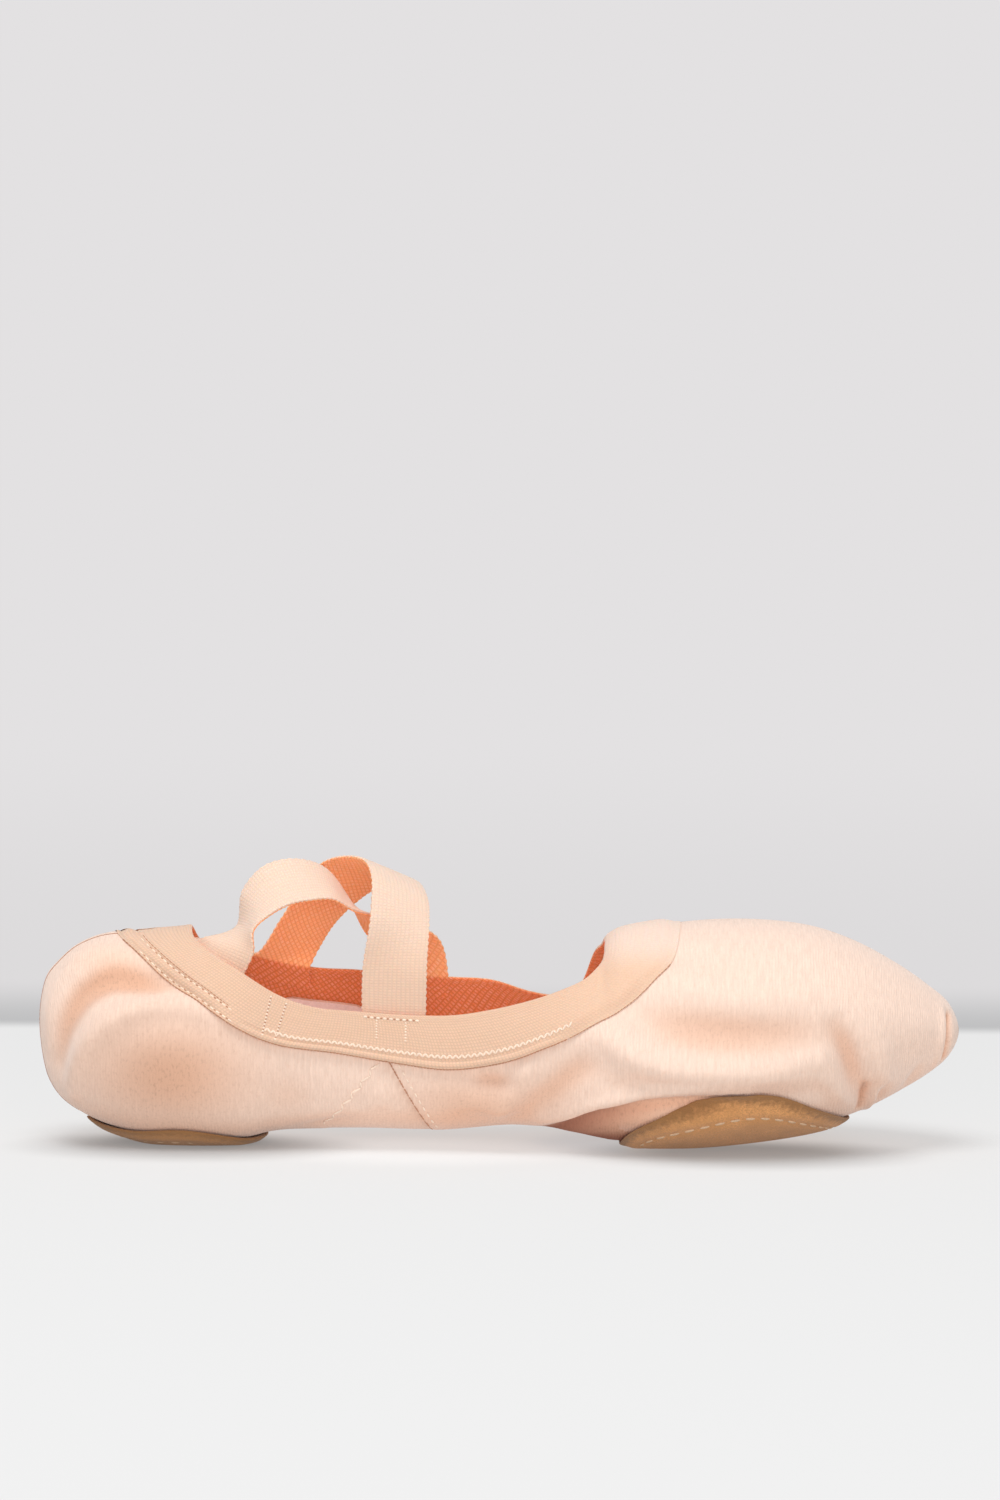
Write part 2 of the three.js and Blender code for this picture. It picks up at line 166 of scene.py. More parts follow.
# The straps: near base, far base, near foot's share of the width, then middles and directions across.
FRONT_STRAP = (88.8, 59, 1.0, np.array([
    (89, -19.4, 46, 1, 0, 0),
    (90.1, -17.4, 57.5, 0.9, 0.4, -0.05),
    (89.8, -11, 65.2, 0.88, 0.2, -0.42),
    (86.2, 0, 68.4, 0.85, 0.3, -0.38),
    (76.2, 11.5, 65.2, 0.93, 0.08, -0.36),
    (66.6, 15.8, 54, 0.78, 0.48, -0.1),
    (61.6, 16.9, 46, 0.8, 0.32, 0),
]))
REAR_STRAP = (45.2, 94.0, 0.82, np.array([
    (47.8, -13.6, 50.4, 9, -7, -2),
    (51.6, -10.5, 54.4, 4, -13, 0.5),
    (54.6, -9, 60.8, 7.5, -12.5, -4),
    (59.6, -8, 65, 7, -11, -8),
    (65.4, -6.5, 66.2, 4, -11, -8.2),
    (72, -3.5, 65, 2, -11, -5),
    (78.2, 0.5, 58.8, 1.5, -13, -0.5),
    (85.6, 8.5, 53.2, 7, -9, 3),
    (92.3, 16, 47.6, 13, -3, 2),
]))
STRAP_TUCK = 5.0

# The straps' woven edge: its round profile as shares of the wall and reach out, and its picots.
STRAP_EDGE = ((0.35, 0.12), (0.0, 0.2), (-0.35, 0.12))
STRAP_EDGE_THINNING = 0.12
PICOT_DEPTH = 0.12
PICOT_PITCH = 1.5

# The heel's seam runs this far to the near side of the middle.
BACK_SEAM_ASIDE = 3.0

# The fold where the vamp turns under to the sole: stations and heights along it, then the soft ends of the
# painted shade under it.
UNDER_FOLD = ((128, 4.4), (133, 6.8), (138.5, 9.4), (144.5, 10.8), (151, 12.4), (161, 13.2), (172, 13.2))
UNDER_FOLD_ENDS = ((121, 126), (182, 140))

# The underside: share of its painted shade that gives a face the shaded canvas without sheen, that
# material's slot, and its highest place.
SHADED_UNDERSIDE_FROM = 0.4
SHADED_UNDERSIDE_SLOT = 2
UNDERSIDE_TOP = 20

# Soft spots of painted shade, as a deeper tone and as darkening: strength, station and half length, height
# and half height.
SHADE_TINT_SPOTS = (
    ("heel side", 0.95, 34, 17, 20, 12),
    ("below the collar", 0.5, 20, 9, 45.5, 4),
    ("waist", 0.65, 110, 16, 11, 8),
)
SHADE_SPOTS = (
    ("heel side", 0.25, 30, 18, 20, 12),
    ("waist", 0.1, 110, 16, 11, 8),
)

# Creases: side, depth (below 0 is a trough), half width, then stations and heights along it.
CREASES = (
    ("heel hollow", NEAR, -3.8, 4.6, (
        (5, 22), (6.4, 29.5), (9, 35.4), (12.4, 39.6), (19, 42.8), (28, 42.2), (35, 40.6))),
    ("heel back ridge", NEAR, 0.3, 2.2, ((2.6, 26), (2.8, 34), (5.5, 41.5), (11, 47.6), (18, 50))),
    ("heel ridge", NEAR, 2.2, 3.0, (
        (8.6, 14), (10.6, 21.5), (14.6, 28), (21, 33.4), (29, 36), (38, 36), (46, 33.2))),
    ("heel side fullness", NEAR, 0.8, 11, ((26, 25), (40, 24))),
    ("arch hollow", NEAR, -1.4, 8, ((57, 14), (70, 13))),
    ("arch tuck", NEAR, -1.0, 3, ((62, 3.5), (72, 6), (80, 7))),
    ("gusset bulge", NEAR, 0.9, 3.2, ((84, 16), (88, 11))),
    ("waist dimple", NEAR, -2.2, 2.6, ((108.5, 19), (113, 18.6), (119, 17.5))),
    ("waist ridge", NEAR, 1.2, 3.0, ((106, 12.5), (113, 12), (119, 11))),
    ("arch fold", NEAR, -2.8, 4.6, ((122, 9.5), (127, 15), (133, 21), (138, 25.5))),
    ("arch fold lip", NEAR, 1.4, 2.8, ((113.5, 7.5), (116.5, 12.5), (120.5, 19), (125, 25.5))),
    ("vamp corner hollow", NEAR, -1.2, 3.4, ((140, 20.5), (147, 18.5), (155, 17))),
    ("vamp hollow", NEAR, -3.2, 6.6, ((150, 36.5), (158, 33.4), (170, 31.6), (182, 31.2), (194, 32))),
    ("vamp ridge", NEAR, 2.4, 3.4, (
        (139, 30.5), (146, 26), (154, 22.8), (168, 21.4), (182, 21.8), (193, 24.5))),
    ("lower hollow", NEAR, -1.2, 3.6, ((156, 15.5), (168, 15), (184, 15), (197, 17))),
    ("under lip", NEAR, 2.0, 1.7, (
        (125, 7.4), (132, 10), (138, 12.8), (144, 14.4), (150, 15.8), (162, 17), (176, 17))),
    ("under fold", NEAR, -3.4, 2.4, UNDER_FOLD),
    ("toe dent", NEAR, -3.0, 3.0, ((198.5, 33), (201, 27), (203, 20.5), (204.6, 14.5))),
    ("toe pleat", NEAR, -1.6, 1.4, ((206, 17), (205.6, 13.6), (204.6, 10.6))),
    ("toe fold", NEAR, 1.1, 1.2, ((208.2, 16), (207.8, 13), (206.8, 10))),
    ("toe swell", NEAR, 1.8, 3.8, ((207.5, 29), (209.5, 23), (211, 17.5))),
    ("toe swell rear", NEAR, 1.2, 2.6, ((194, 22), (198, 17), (201.5, 13))),
    ("toe gather one", NEAR, -1.3, 1.5, ((210.4, 17), (209.8, 14), (209, 11.5))),
    ("toe gather two", NEAR, -0.9, 2.2, ((219.6, 22), (217.6, 18), (216, 15))),
    ("toe slit", NEAR, -2.4, 1.1, ((227, 33.6), (227, 30), (226.6, 26), (225.8, 22.4))),
    ("toe slit lip", NEAR, 0.9, 1.2, ((225.4, 35), (225, 29.5), (224.2, 24), (223.4, 20.8))),
    ("vamp top fold", NEAR, -0.8, 4.5, ((160, 48), (170, 45.5), (182, 45))),
    ("heel hollow", FAR, -2.4, 4.6, ((6, 30), (8, 38), (13, 43.6), (21, 45.4), (30, 43.4))),
    ("heel ridge", FAR, 1.4, 3.8, ((9, 26), (15, 35), (24, 38.8), (36, 38.6))),
    ("heel side fullness", FAR, 0.8, 11, ((24, 24), (38, 23))),
    ("arch hollow", FAR, -1.2, 8, ((58, 13), (72, 14))),
    ("waist dimple", FAR, -1.6, 3.2, ((108, 17), (114, 18.5), (120, 18))),
    ("arch fold", FAR, -1.9, 2.8, ((119, 8), (126, 16), (132, 22))),
    ("arch fold lip", FAR, 1.3, 3.2, ((125, 9), (132, 17), (139, 25))),
    ("under lip", FAR, 1.3, 2.6, ((122, 8), (136, 14), (150, 15.4), (168, 15.2))),
    ("under fold", FAR, -2.2, 2.8, ((130, 4), (142, 8), (156, 10), (166, 11))),
    ("vamp hollow", FAR, -2.3, 4.8, ((150, 36), (162, 33.5), (176, 33), (190, 33.5))),
    ("vamp ridge", FAR, 1.8, 3.8, ((142, 29), (154, 25), (170, 24.4), (188, 26))),
    ("lower hollow", FAR, -1.3, 4.4, ((156, 17.5), (172, 17), (194, 19))),
    ("toe dent", FAR, -2.8, 2.8, ((199, 30), (202, 24), (204, 18), (206, 13))),
    ("toe swell", FAR, 1.4, 4.2, ((208.5, 29), (211, 23), (213, 18.5))),
    ("toe gather one", FAR, -1.4, 1.5, ((211, 13.5), (213, 17), (215.5, 20.5))),
    ("toe gather two", FAR, -1.1, 1.4, ((216.5, 16.5), (218.5, 19.5), (220.5, 23))),
)
SLIT_NAMES = ("toe slit", "toe pleat")

# The canvas's cut edge: how far from the line its rim reaches, and rounds of moving it there.
RIM_REACH = 4
RIM_ROUNDS = 4

# The canvas's girth, which sizes its weave.
UPPER_GIRTH = 150.0

# Fineness of the samples along tables, and of the meshes.
LAST_SAMPLES = 4000
COLLAR_SAMPLES = 1200
CREASE_SAMPLES = 40
OUTLINE_SAMPLES = 720
HALVINGS = 36
UPPER_COLUMNS = 250
UPPER_ROWS = 150
COLLAR_STEPS = 250
COLLAR_OUTER_RINGS = 40
COLLAR_INNER_RINGS = 12
COLLAR_WIDTH_STEP = 150
STRAP_STEPS = 420
STRAP_LANES = 14
PATCH_SEGMENTS = 128
PATCH_RINGS = 64
PATCH_CROWDING = 1.7
STITCH_SEGMENTS = 8
STITCH_RINGS = 5


def smoothstep(low, high, value):
    share = np.clip((value - low) / (high - low), 0.0, 1.0)
    return share * share * (3.0 - 2.0 * share)


def bump(value, middle, half_width):
    return np.exp(-(((value - middle) / half_width) ** 2))


def bezier(a, b, c, d, t):
    s = 1.0 - t
    return s * s * s * a + 3 * s * s * t * b + 3 * s * t * t * c + t * t * t * d


def unit(vectors):
    length = np.linalg.norm(vectors, axis=-1, keepdims=True)
    return vectors / np.maximum(length, 1e-12)


def between(value, rise, fall):
    """1 between two soft ends, each given by where it starts and where it is whole."""
    return smoothstep(*rise, value) * smoothstep(*fall, value)


def run_length(points):
    """Length along a line of points, at each of them."""
    return np.concatenate([[0], np.cumsum(np.linalg.norm(np.diff(points, axis=0), axis=1))])


def station_of(points):
    return points[..., 0] + HALF_LENGTH


def table_curve(table, at, turns_over=None):
    """A smooth curve through a table's rows, at fractional row numbers."""
    before = 2 * table[0] - table[1]
    after = 2 * table[-1] - table[-2]
    if turns_over is not None:
        before = np.where(turns_over, before, table[1])
        after = np.where(turns_over, after, table[-2])
    rows = np.vstack([before, table, after])
    at = np.asarray(at, float)
    first = np.clip(np.floor(at).astype(int), 0, len(table) - 2)
    t = (at - first)[..., None]
    a, b, c, d = (rows[first + i] for i in range(4))
    return b + 0.5 * t * (c - a + t * (2 * a - 5 * b + 4 * c - d + t * (3 * (b - c) + d - a)))


def section(row):
    """Station, half width, underside, widest height, top, belly and crown at row numbers."""
    return np.moveaxis(table_curve(LAST, row, LAST_TURNS_OVER), -1, 0)


def skin(row, turn):
    """Points of the last. Turn 0 is under the sole, 0.25 near, 0.5 on top and 0.75 far."""
    station, half, bottom, widest, top, belly, crown = section(row)
    around = np.mod(turn, 1.0)
    side = np.where(around < 0.5, NEAR, FAR)
    climb = np.where(around < 0.5, around, 1.0 - around) * 4
    low = np.clip(climb, 0, 1)
    high = np.clip(climb - 1, 0, 1)
    is_low = climb <= 1
    low_out = bezier(0, belly * half, half, half, low)
    high_out = bezier(half, half, crown * half, 0, high)
    out = np.where(is_low, low_out, high_out)
    low_height = bezier(bottom, bottom, widest - belly * (widest - bottom), widest, low)
    high_height = bezier(widest, widest + crown * (top - widest), top, top, high)
    height = np.maximum(np.where(is_low, low_height, high_height), SOLE_LEVEL)
    return np.stack([station - HALF_LENGTH, side * out, height], axis=-1)


def skin_normals(row, turn):
    step, turn_step = 0.02, 0.004
    along = skin(np.minimum(row + step, LAST_END), turn) - skin(np.maximum(row - step, 0), turn)
    around = skin(row, turn + turn_step) - skin(row, turn - turn_step)
    normals = unit(np.cross(along, around))
    normals = np.where((row < step)[..., None], (-1.0, 0.0, 0.0), normals)
    return np.where((row > LAST_END - step)[..., None], (1.0, 0.0, 0.0), normals)


def raised(row, turn, lift):
    """Points that stand off the last along its normals, and the normals."""
    normals = skin_normals(row, turn)
    return skin(row, turn) + normals * np.asarray(lift)[..., None], normals


ROW_SAMPLES = np.linspace(0, LAST_END, LAST_SAMPLES + 1)
STATION_SAMPLES = section(ROW_SAMPLES)[0]


def row_at(station):
    return np.interp(station, STATION_SAMPLES, ROW_SAMPLES)


def half_width_at(station):
    return section(row_at(station))[1]


def find_turn(row, end, is_before):
    """The turn between 0 and an end where a test on turns changes from true to false."""
    low = np.zeros_like(row)
    high = np.full_like(row, end)
    for _ in range(HALVINGS):
        middle = (low + high) / 2
        before = is_before(middle)
        low = np.where(before, middle, low)
        high = np.where(before, high, middle)
    return high


def wall_place(station, height, side):
    """Row and turn of the wall's point at a station and a height."""
    row = row_at(station)
    turn = find_turn(row, 0.5, lambda turn: skin(row, turn)[..., 2] < height)
    return row, np.where(side < 0, turn, 1.0 - turn)


def sole_place(station, y, on_top=False):
    """Row and turn of the point at a station and a distance from the middle, below or on top."""
    def from_below(turn):
        return 0.5 - turn if on_top else turn

    row = row_at(station)
    turn = find_turn(row, 0.25, lambda turn: -skin(row, from_below(turn))[..., 1] < np.abs(y))
    return row, np.where(y < 0, from_below(turn), 1.0 - from_below(turn))


def crease_lines():
    """Points, depths and half width of each crease."""
    made = []
    for _, side, depth, half_width, points in CREASES:
        table = np.array(points, float)
        places = table_curve(table, np.linspace(0, len(table) - 1, CREASE_SAMPLES))
        row, turn = wall_place(places[:, 0], places[:, 1], side)
        taper = np.sin(np.pi * np.linspace(0.1, 0.9, CREASE_SAMPLES)) ** 0.8
        made.append((skin(row, turn), depth * taper, half_width))
    return made


CREASE_LINES = crease_lines()
SLITS = np.vstack([line[0] for crease, line in zip(CREASES, CREASE_LINES) if crease[0] in SLIT_NAMES])


def from_slit(points):
    """Distance to the toe's slit and pleat."""
    return np.linalg.norm(points[:, None, :] - SLITS[None], axis=2).min(1)


def relief(points):
    """How far the creases and the gusset's step move points of the last in or out."""
    flat = points.reshape(-1, 3)
    moved = np.zeros(len(flat))
    for line, depth, half_width in CREASE_LINES:
        reach = 3 * half_width
        box = np.all((flat > line.min(0) - reach) & (flat < line.max(0) + reach), axis=1)
        close = flat[box]
        if not len(close):
            continue
        distance = np.linalg.norm(close[:, None, :] - line[None], axis=2)
        nearest = distance.argmin(1)
        moved[box] += depth[nearest] * bump(distance.min(1), 0.0, half_width)
    station = station_of(flat)
    height = flat[:, 2]
    wander = 0.16 * np.sin(station / 7.1 + height / 5.3)
    wander = wander * np.sin(height / 6.7 - station / 13.0 + flat[:, 1] / 9.0)
    away_from_floor = smoothstep(2.2, 6.0, height)
    moved = (moved + wander) * away_from_floor
    rear = edge_distance(station, height, GUSSET_APEX, GUSSET_REAR_FOOT)
    front = -edge_distance(station, height, GUSSET_APEX, GUSSET_FRONT_FOOT)
    step = GUSSET_STEP + GUSSET_FRONT_STEP * np.exp(-np.maximum(front, 0) / GUSSET_STEP_FADE)
    moved -= step * smoothstep(0.0, 0.9, np.minimum(rear, front)) * smoothstep(*GUSSET_LOW_END, height)
    return moved.reshape(points.shape[:-1])


def edge_distance(station, height, start, end):
    """Signed distance from a straight edge, above 0 on the toe side of it."""
    along = unit(np.array(end) - np.array(start))
    return (station - start[0]) * -along[1] + (height - start[1]) * along[0]


def gusset_line(foot, share):
    """Stations and heights along an edge of the gusset, from its apex at 0 to its foot at 1."""
    return [start + (end - start) * share for start, end in zip(GUSSET_APEX, foot)]


def collar_line(share, side):
    """Stations and heights along the collar: share 0 is its hem and 1 its top edge."""
    band = table_curve(COLLAR, np.linspace(0, COLLAR_END, COLLAR_SAMPLES + 1))
    station = band[:, 0] + share * (band[:, 2] - band[:, 0])
    height = band[:, 1] + share * (band[:, 3] - band[:, 1])
    lift = band[:, 4] * (HEM_SHARE_OF_LIFT + share * (1 - HEM_SHARE_OF_LIFT))
    return station, height + (lift if side > 0 else 0.0)


def under_collar(station, height, side):
    """Rows, turns and heights of the wall under places in the collar's thickness."""
    row, turn = wall_place(station, height, side)
    out = skin_normals(row, turn) * (LAYER_GAP + COLLAR_STAND_OFF)
    station, height = station - out[..., 0], height - out[..., 2]
    return wall_place(station, height, side) + (height,)


def collar_half(share, side, count):
    """Rows and turns at even steps along half of a collar line, from heel to throat."""
    station, height = collar_line(share, side)
    row, turn, height = under_collar(station, height, side)
    on_wall = np.flatnonzero(height < section(row)[4])
    first, last = max(on_wall[0] - 1, 0), min(on_wall[-1] + 1, len(row) - 1)
    row, turn = row[first:last + 1], turn[first:last + 1]
    turn[0] = turn[-1] = 0.5
    points = skin(row, turn)
    length = run_length(points)
    even = np.linspace(0, length[-1], count + 1)
    return np.interp(even, length, row), np.interp(even, length, turn)


def collar_loop(share):
    """Rows and turns right round a collar line, from the heel along the near side and back."""
    near = collar_half(share, NEAR, COLLAR_STEPS)
    far = collar_half(share, FAR, COLLAR_STEPS)
    return [np.concatenate([there, back[::-1][1:]]) for there, back in zip(near, far)]


def collar_top(station, side):
    stations, heights = collar_line(1.0, side)
    return np.interp(station, stations, heights)


def collar_ends(station):
    """How far places lie in the collar's heel end, and in its throat end."""
    return smoothstep(*COLLAR_HEEL_END, station), smoothstep(*COLLAR_THROAT_END, station)


def hem_width(station):
    heel, throat = collar_ends(station)
    return 12.5 + 5.0 * heel + 5.0 * throat


def hem_thinning(share, base):
    """The collar lies flush with the canvas along its hem at the heel and at the throat."""
    station = station_of(base)
    heel, throat = collar_ends(station)
    flush = 0.8 * (heel + throat)
    reach = 5.0 + 6.0 * smoothstep(40, 25, station)
    return 1 - flush * (1 - smoothstep(0.0, 1.0, share * hem_width(station) / reach))


def ridges(table, up):
    return sum(height * bump(up, place, half_width) for height, place, half_width in table)


def collar_profile(share, base):
    """The relief across the collar's outer face: a rolled hem, and a double stitch at the heel."""
    station = station_of(base)
    rolled = between(station, *ROLLED_HEM_ENDS)
    heel, _ = collar_ends(station)
    width = hem_width(station)
    up = share * width
    top_bead = 0.1 * bump(up, width - 0.7, 0.7)
    return rolled * ridges(ROLLED_HEM_RIDGES, up) + heel * ridges(HEEL_STITCH_RIDGES, up) + top_bead


def collar_relief(share, base):
    """The canvas's creases under the collar, fading towards its top edge."""
    return relief(base) * (1 - smoothstep(*FLAT_TOP_EDGE, share))


def patch_shape(patch, inset, in_front):
    """A patch's widest station, then its reach, half width and taper in the front or rear part."""
    rear, front, widest_at, half_width, rear_taper = patch
    reach = np.where(in_front, front - widest_at, widest_at - rear) - inset
    return widest_at, reach, half_width - inset, np.where(in_front, 1.0, rear_taper)


def patch_outline(patch, inset, angle):
    """Stations and distances from the middle along a patch's edge, or along a line inside it."""
    widest_at, reach, half_width, taper = patch_shape(patch, inset, np.cos(angle) > 0)
    across = np.sign(np.sin(angle)) * np.abs(np.sin(angle)) ** taper
    return widest_at + reach * np.cos(angle), half_width * across


def inside_patch(patch, inset, station, y):
    widest_at, reach, half_width, taper = patch_shape(patch, inset, station > patch[2])
    across = np.abs(y / half_width) ** (2 / taper)
    return ((station - widest_at) / reach) ** 2 + across < 1


def centripetal_curve(points, steps):
    """A centripetal Catmull-Rom curve through points, sampled at even parameter steps."""
    before = 2 * points[0] - points[1]
    after = 2 * points[-1] - points[-2]
    rows = np.vstack([before, points, after])
    at = np.linspace(0, len(points) - 1, steps + 1)
    first = np.clip(np.floor(at).astype(int), 0, len(points) - 2)
    t = (at - first)[:, None]
    a, b, c, d = (rows[first + i] for i in range(4))
    gap_a, gap_b, gap_c = (
        np.sqrt(np.linalg.norm(q - p, axis=1, keepdims=True)) for p, q in ((a, b), (b, c), (c, d))
    )
    leave = ((b - a) / gap_a - (c - a) / (gap_a + gap_b) + (c - b) / gap_b) * gap_b
    arrive = ((c - b) / gap_b - (d - b) / (gap_b + gap_c) + (d - c) / gap_c) * gap_b
    bend = 2 * b - 2 * c + leave + arrive
    return b + t * (leave + t * (-3 * b + 3 * c - 2 * leave - arrive + t * bend))


# Blender helpers.

def start_piece(name):
    """The primitive that was just added, with its name and its vertices' places."""
    obj = bpy.context.object
    obj.name = name
    obj.data.name = name
    points = np.empty(len(obj.data.vertices) * 3)
    obj.data.vertices.foreach_get("co", points)
    return obj, points.reshape(-1, 3)


def select_only(obj):
    bpy.ops.object.select_all(action="DESELECT")
    bpy.context.view_layer.objects.active = obj
    obj.select_set(True)


def new_grid(name, columns, rows):
    """A grid primitive, with each vertex's column and row number."""
    bpy.ops.object.select_all(action="DESELECT")
    bpy.ops.mesh.primitive_grid_add(x_subdivisions=columns, y_subdivisions=rows, size=1, location=(0, 0, 0))
    obj, points = start_piece(name)
    column = np.rint((points[:, 0] + 0.5) * columns).astype(int)
    row = np.rint((points[:, 1] + 0.5) * rows).astype(int)
    return obj, column, row


def new_sphere(name, segments, rings):
    bpy.ops.object.select_all(action="DESELECT")
    bpy.ops.mesh.primitive_uv_sphere_add(segments=segments, ring_count=rings, radius=1, location=(0, 0, 0))
    return start_piece(name)


def place_vertices(obj, points):
    obj.data.vertices.foreach_set("co", (points * MM).ravel())
    obj.data.update()


def stretch_uv(obj, along, across):
    """Gives each corner of a grid the lengths along and across at its column and row, as U and V."""
    layer = obj.data.uv_layers.active.data
    uv = np.empty(len(layer) * 2)
    layer.foreach_get("uv", uv)
    column, row = np.rint(uv.reshape(-1, 2) * (len(along) - 1, len(across) - 1)).astype(int).T
    lengths = np.stack([along[column], across[row]], axis=1)
    layer.foreach_set("uv", lengths.astype(np.float32).ravel())


def add_attribute(obj, name, values):
    layer = obj.data.attributes.new(name, "FLOAT", "POINT")
    layer.data.foreach_set("value", values.astype(np.float32))


def places_of(obj):
    return np.array([vertex.co for vertex in obj.data.vertices]) / MM


def close_seams(obj, fill=False):
    """Merges doubles, closes open ends where asked, and turns the faces outward."""
    select_only(obj)
    bpy.ops.object.mode_set(mode="EDIT")
    bpy.ops.mesh.select_all(action="SELECT")
    bpy.ops.mesh.remove_doubles(threshold=1e-6)
    if fill:
        bpy.ops.mesh.fill_holes(sides=0)
        bpy.ops.mesh.select_all(action="SELECT")
    bpy.ops.mesh.normals_make_consistent(inside=False)
    bpy.ops.object.mode_set(mode="OBJECT")


def finish_piece(obj, nodes=(), angle=60):
    """Shades a piece, puts it on the shoe's body and takes out the solids that it replaces."""
    select_only(obj)
    bpy.ops.object.shade_smooth_by_angle(angle=math.radians(angle))
    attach(obj, "root")
    if nodes:
        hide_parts(*nodes)


def closed_band(name, points, along, around, inner, materials):
    """A flat tube from points[step, ring], with its back's material on the inner rings."""
    obj, step, ring = new_grid(name, points.shape[0] - 1, points.shape[1] - 1)
    place_vertices(obj, points[step, ring])
    stretch_uv(obj, along, around)
    for material in materials:
        obj.data.materials.append(material)
    corner_vertices = np.empty(len(obj.data.loops), int)
    obj.data.loops.foreach_get("vertex_index", corner_vertices)
    lowest = ring[corner_vertices].reshape(-1, 4).min(1)
    is_inner = np.isin(lowest, inner)
    obj.data.polygons.foreach_set("material_index", is_inner.astype(np.int32))
    return obj


# Materials.

WHITE = (1, 1, 1, 1)
BLACK = (0, 0, 0, 1)


class Nodes:
    """Short ways to add nodes to a material."""

    def __init__(self, name):
        self.material = bpy.data.materials.new(name)
        self.material.use_nodes = True
        self.tree = self.material.node_tree
        self.surface = self.tree.nodes["Principled BSDF"]

    def add(self, kind, **inputs):
        node = self.tree.nodes.new(kind)
        for name, value in inputs.items():
            self.feed(node.inputs[name], value)
        return node

    def feed(self, socket, value):
        if isinstance(value, bpy.types.NodeSocket):
            self.tree.links.new(value, socket)
        else:
            socket.default_value = value

    def math(self, operation, *values):
        node = self.tree.nodes.new("ShaderNodeMath")
        node.operation = operation
        for socket, value in zip(node.inputs, values):
            self.feed(socket, value)
        return node.outputs[0]

    def uv(self):
        node = self.tree.nodes.new("ShaderNodeUVMap")
        node.uv_map = "UVMap"
        split = self.add("ShaderNodeSeparateXYZ", Vector=node.outputs[0])
        return node.outputs[0], split.outputs[0], split.outputs[1]

    def stretched(self, vector, scale):
        node = self.add("ShaderNodeMapping", Vector=vector, Scale=scale)
        return node.outputs[0]

    def noise(self, vector, scale=1.0, detail=2.0, roughness=0.5):
        node = self.add(
            "ShaderNodeTexNoise", Vector=vector, Scale=scale, Detail=detail, Roughness=roughness)
        return node.outputs[0]

    def place(self):
        return self.tree.nodes.new("ShaderNodeTexCoord").outputs["Object"]

    def ribs(self, value, pitch):
        turned = self.math("MULTIPLY", value, 2 * math.pi / pitch)
        return self.math("MULTIPLY_ADD", self.math("SINE", turned), 0.5, 0.5)

    def mix(self, factor, first, second):
        """A mix of two colours, by the sockets that a colour mix uses."""
        node = self.tree.nodes.new("ShaderNodeMix")
        node.data_type = "RGBA"
        self.feed(node.inputs[0], factor)
        self.feed(node.inputs[6], first)
        self.feed(node.inputs[7], second)
        return node.outputs[2]

    def ramp(self, value, low, high):
        node = self.add("ShaderNodeMapRange", Value=value)
        node.interpolation_type = "SMOOTHSTEP"
        node.inputs[1].default_value = low
        node.inputs[2].default_value = high
        return node.outputs[0]

    def attribute(self, name):
        node = self.tree.nodes.new("ShaderNodeAttribute")
        node.attribute_name = name
        return node.outputs["Fac"]

    def glow_through(self, weight, depth):
        """Light that passes through thin cloth, red furthest."""
        self.surface.inputs["Subsurface Weight"].default_value = weight
        self.surface.inputs["Subsurface Scale"].default_value = depth
        self.surface.inputs["Subsurface Radius"].default_value = (1.0, 0.45, 0.25)

    def glow(self, colour, strength):
        self.feed(self.surface.inputs["Emission Color"], colour)
        self.surface.inputs["Emission Strength"].default_value = strength

    def finish(self, colour, height, roughness, depth, strength=1.0, sheen=0.0):
        node = self.add("ShaderNodeBump", Height=height, Strength=strength, Distance=depth)
        self.feed(self.surface.inputs["Normal"], node.outputs[0])
        self.feed(self.surface.inputs["Base Color"], colour)
        self.surface.inputs["Roughness"].default_value = roughness
        self.surface.inputs["Specular IOR Level"].default_value = 0.2
        self.surface.inputs["Sheen Weight"].default_value = sheen
        self.surface.inputs["Sheen Roughness"].default_value = 0.5
        return self.material


def tone(colour, share=1.0):
    return tuple(min(1.0, channel * share) for channel in colour[:3]) + (1.0,)


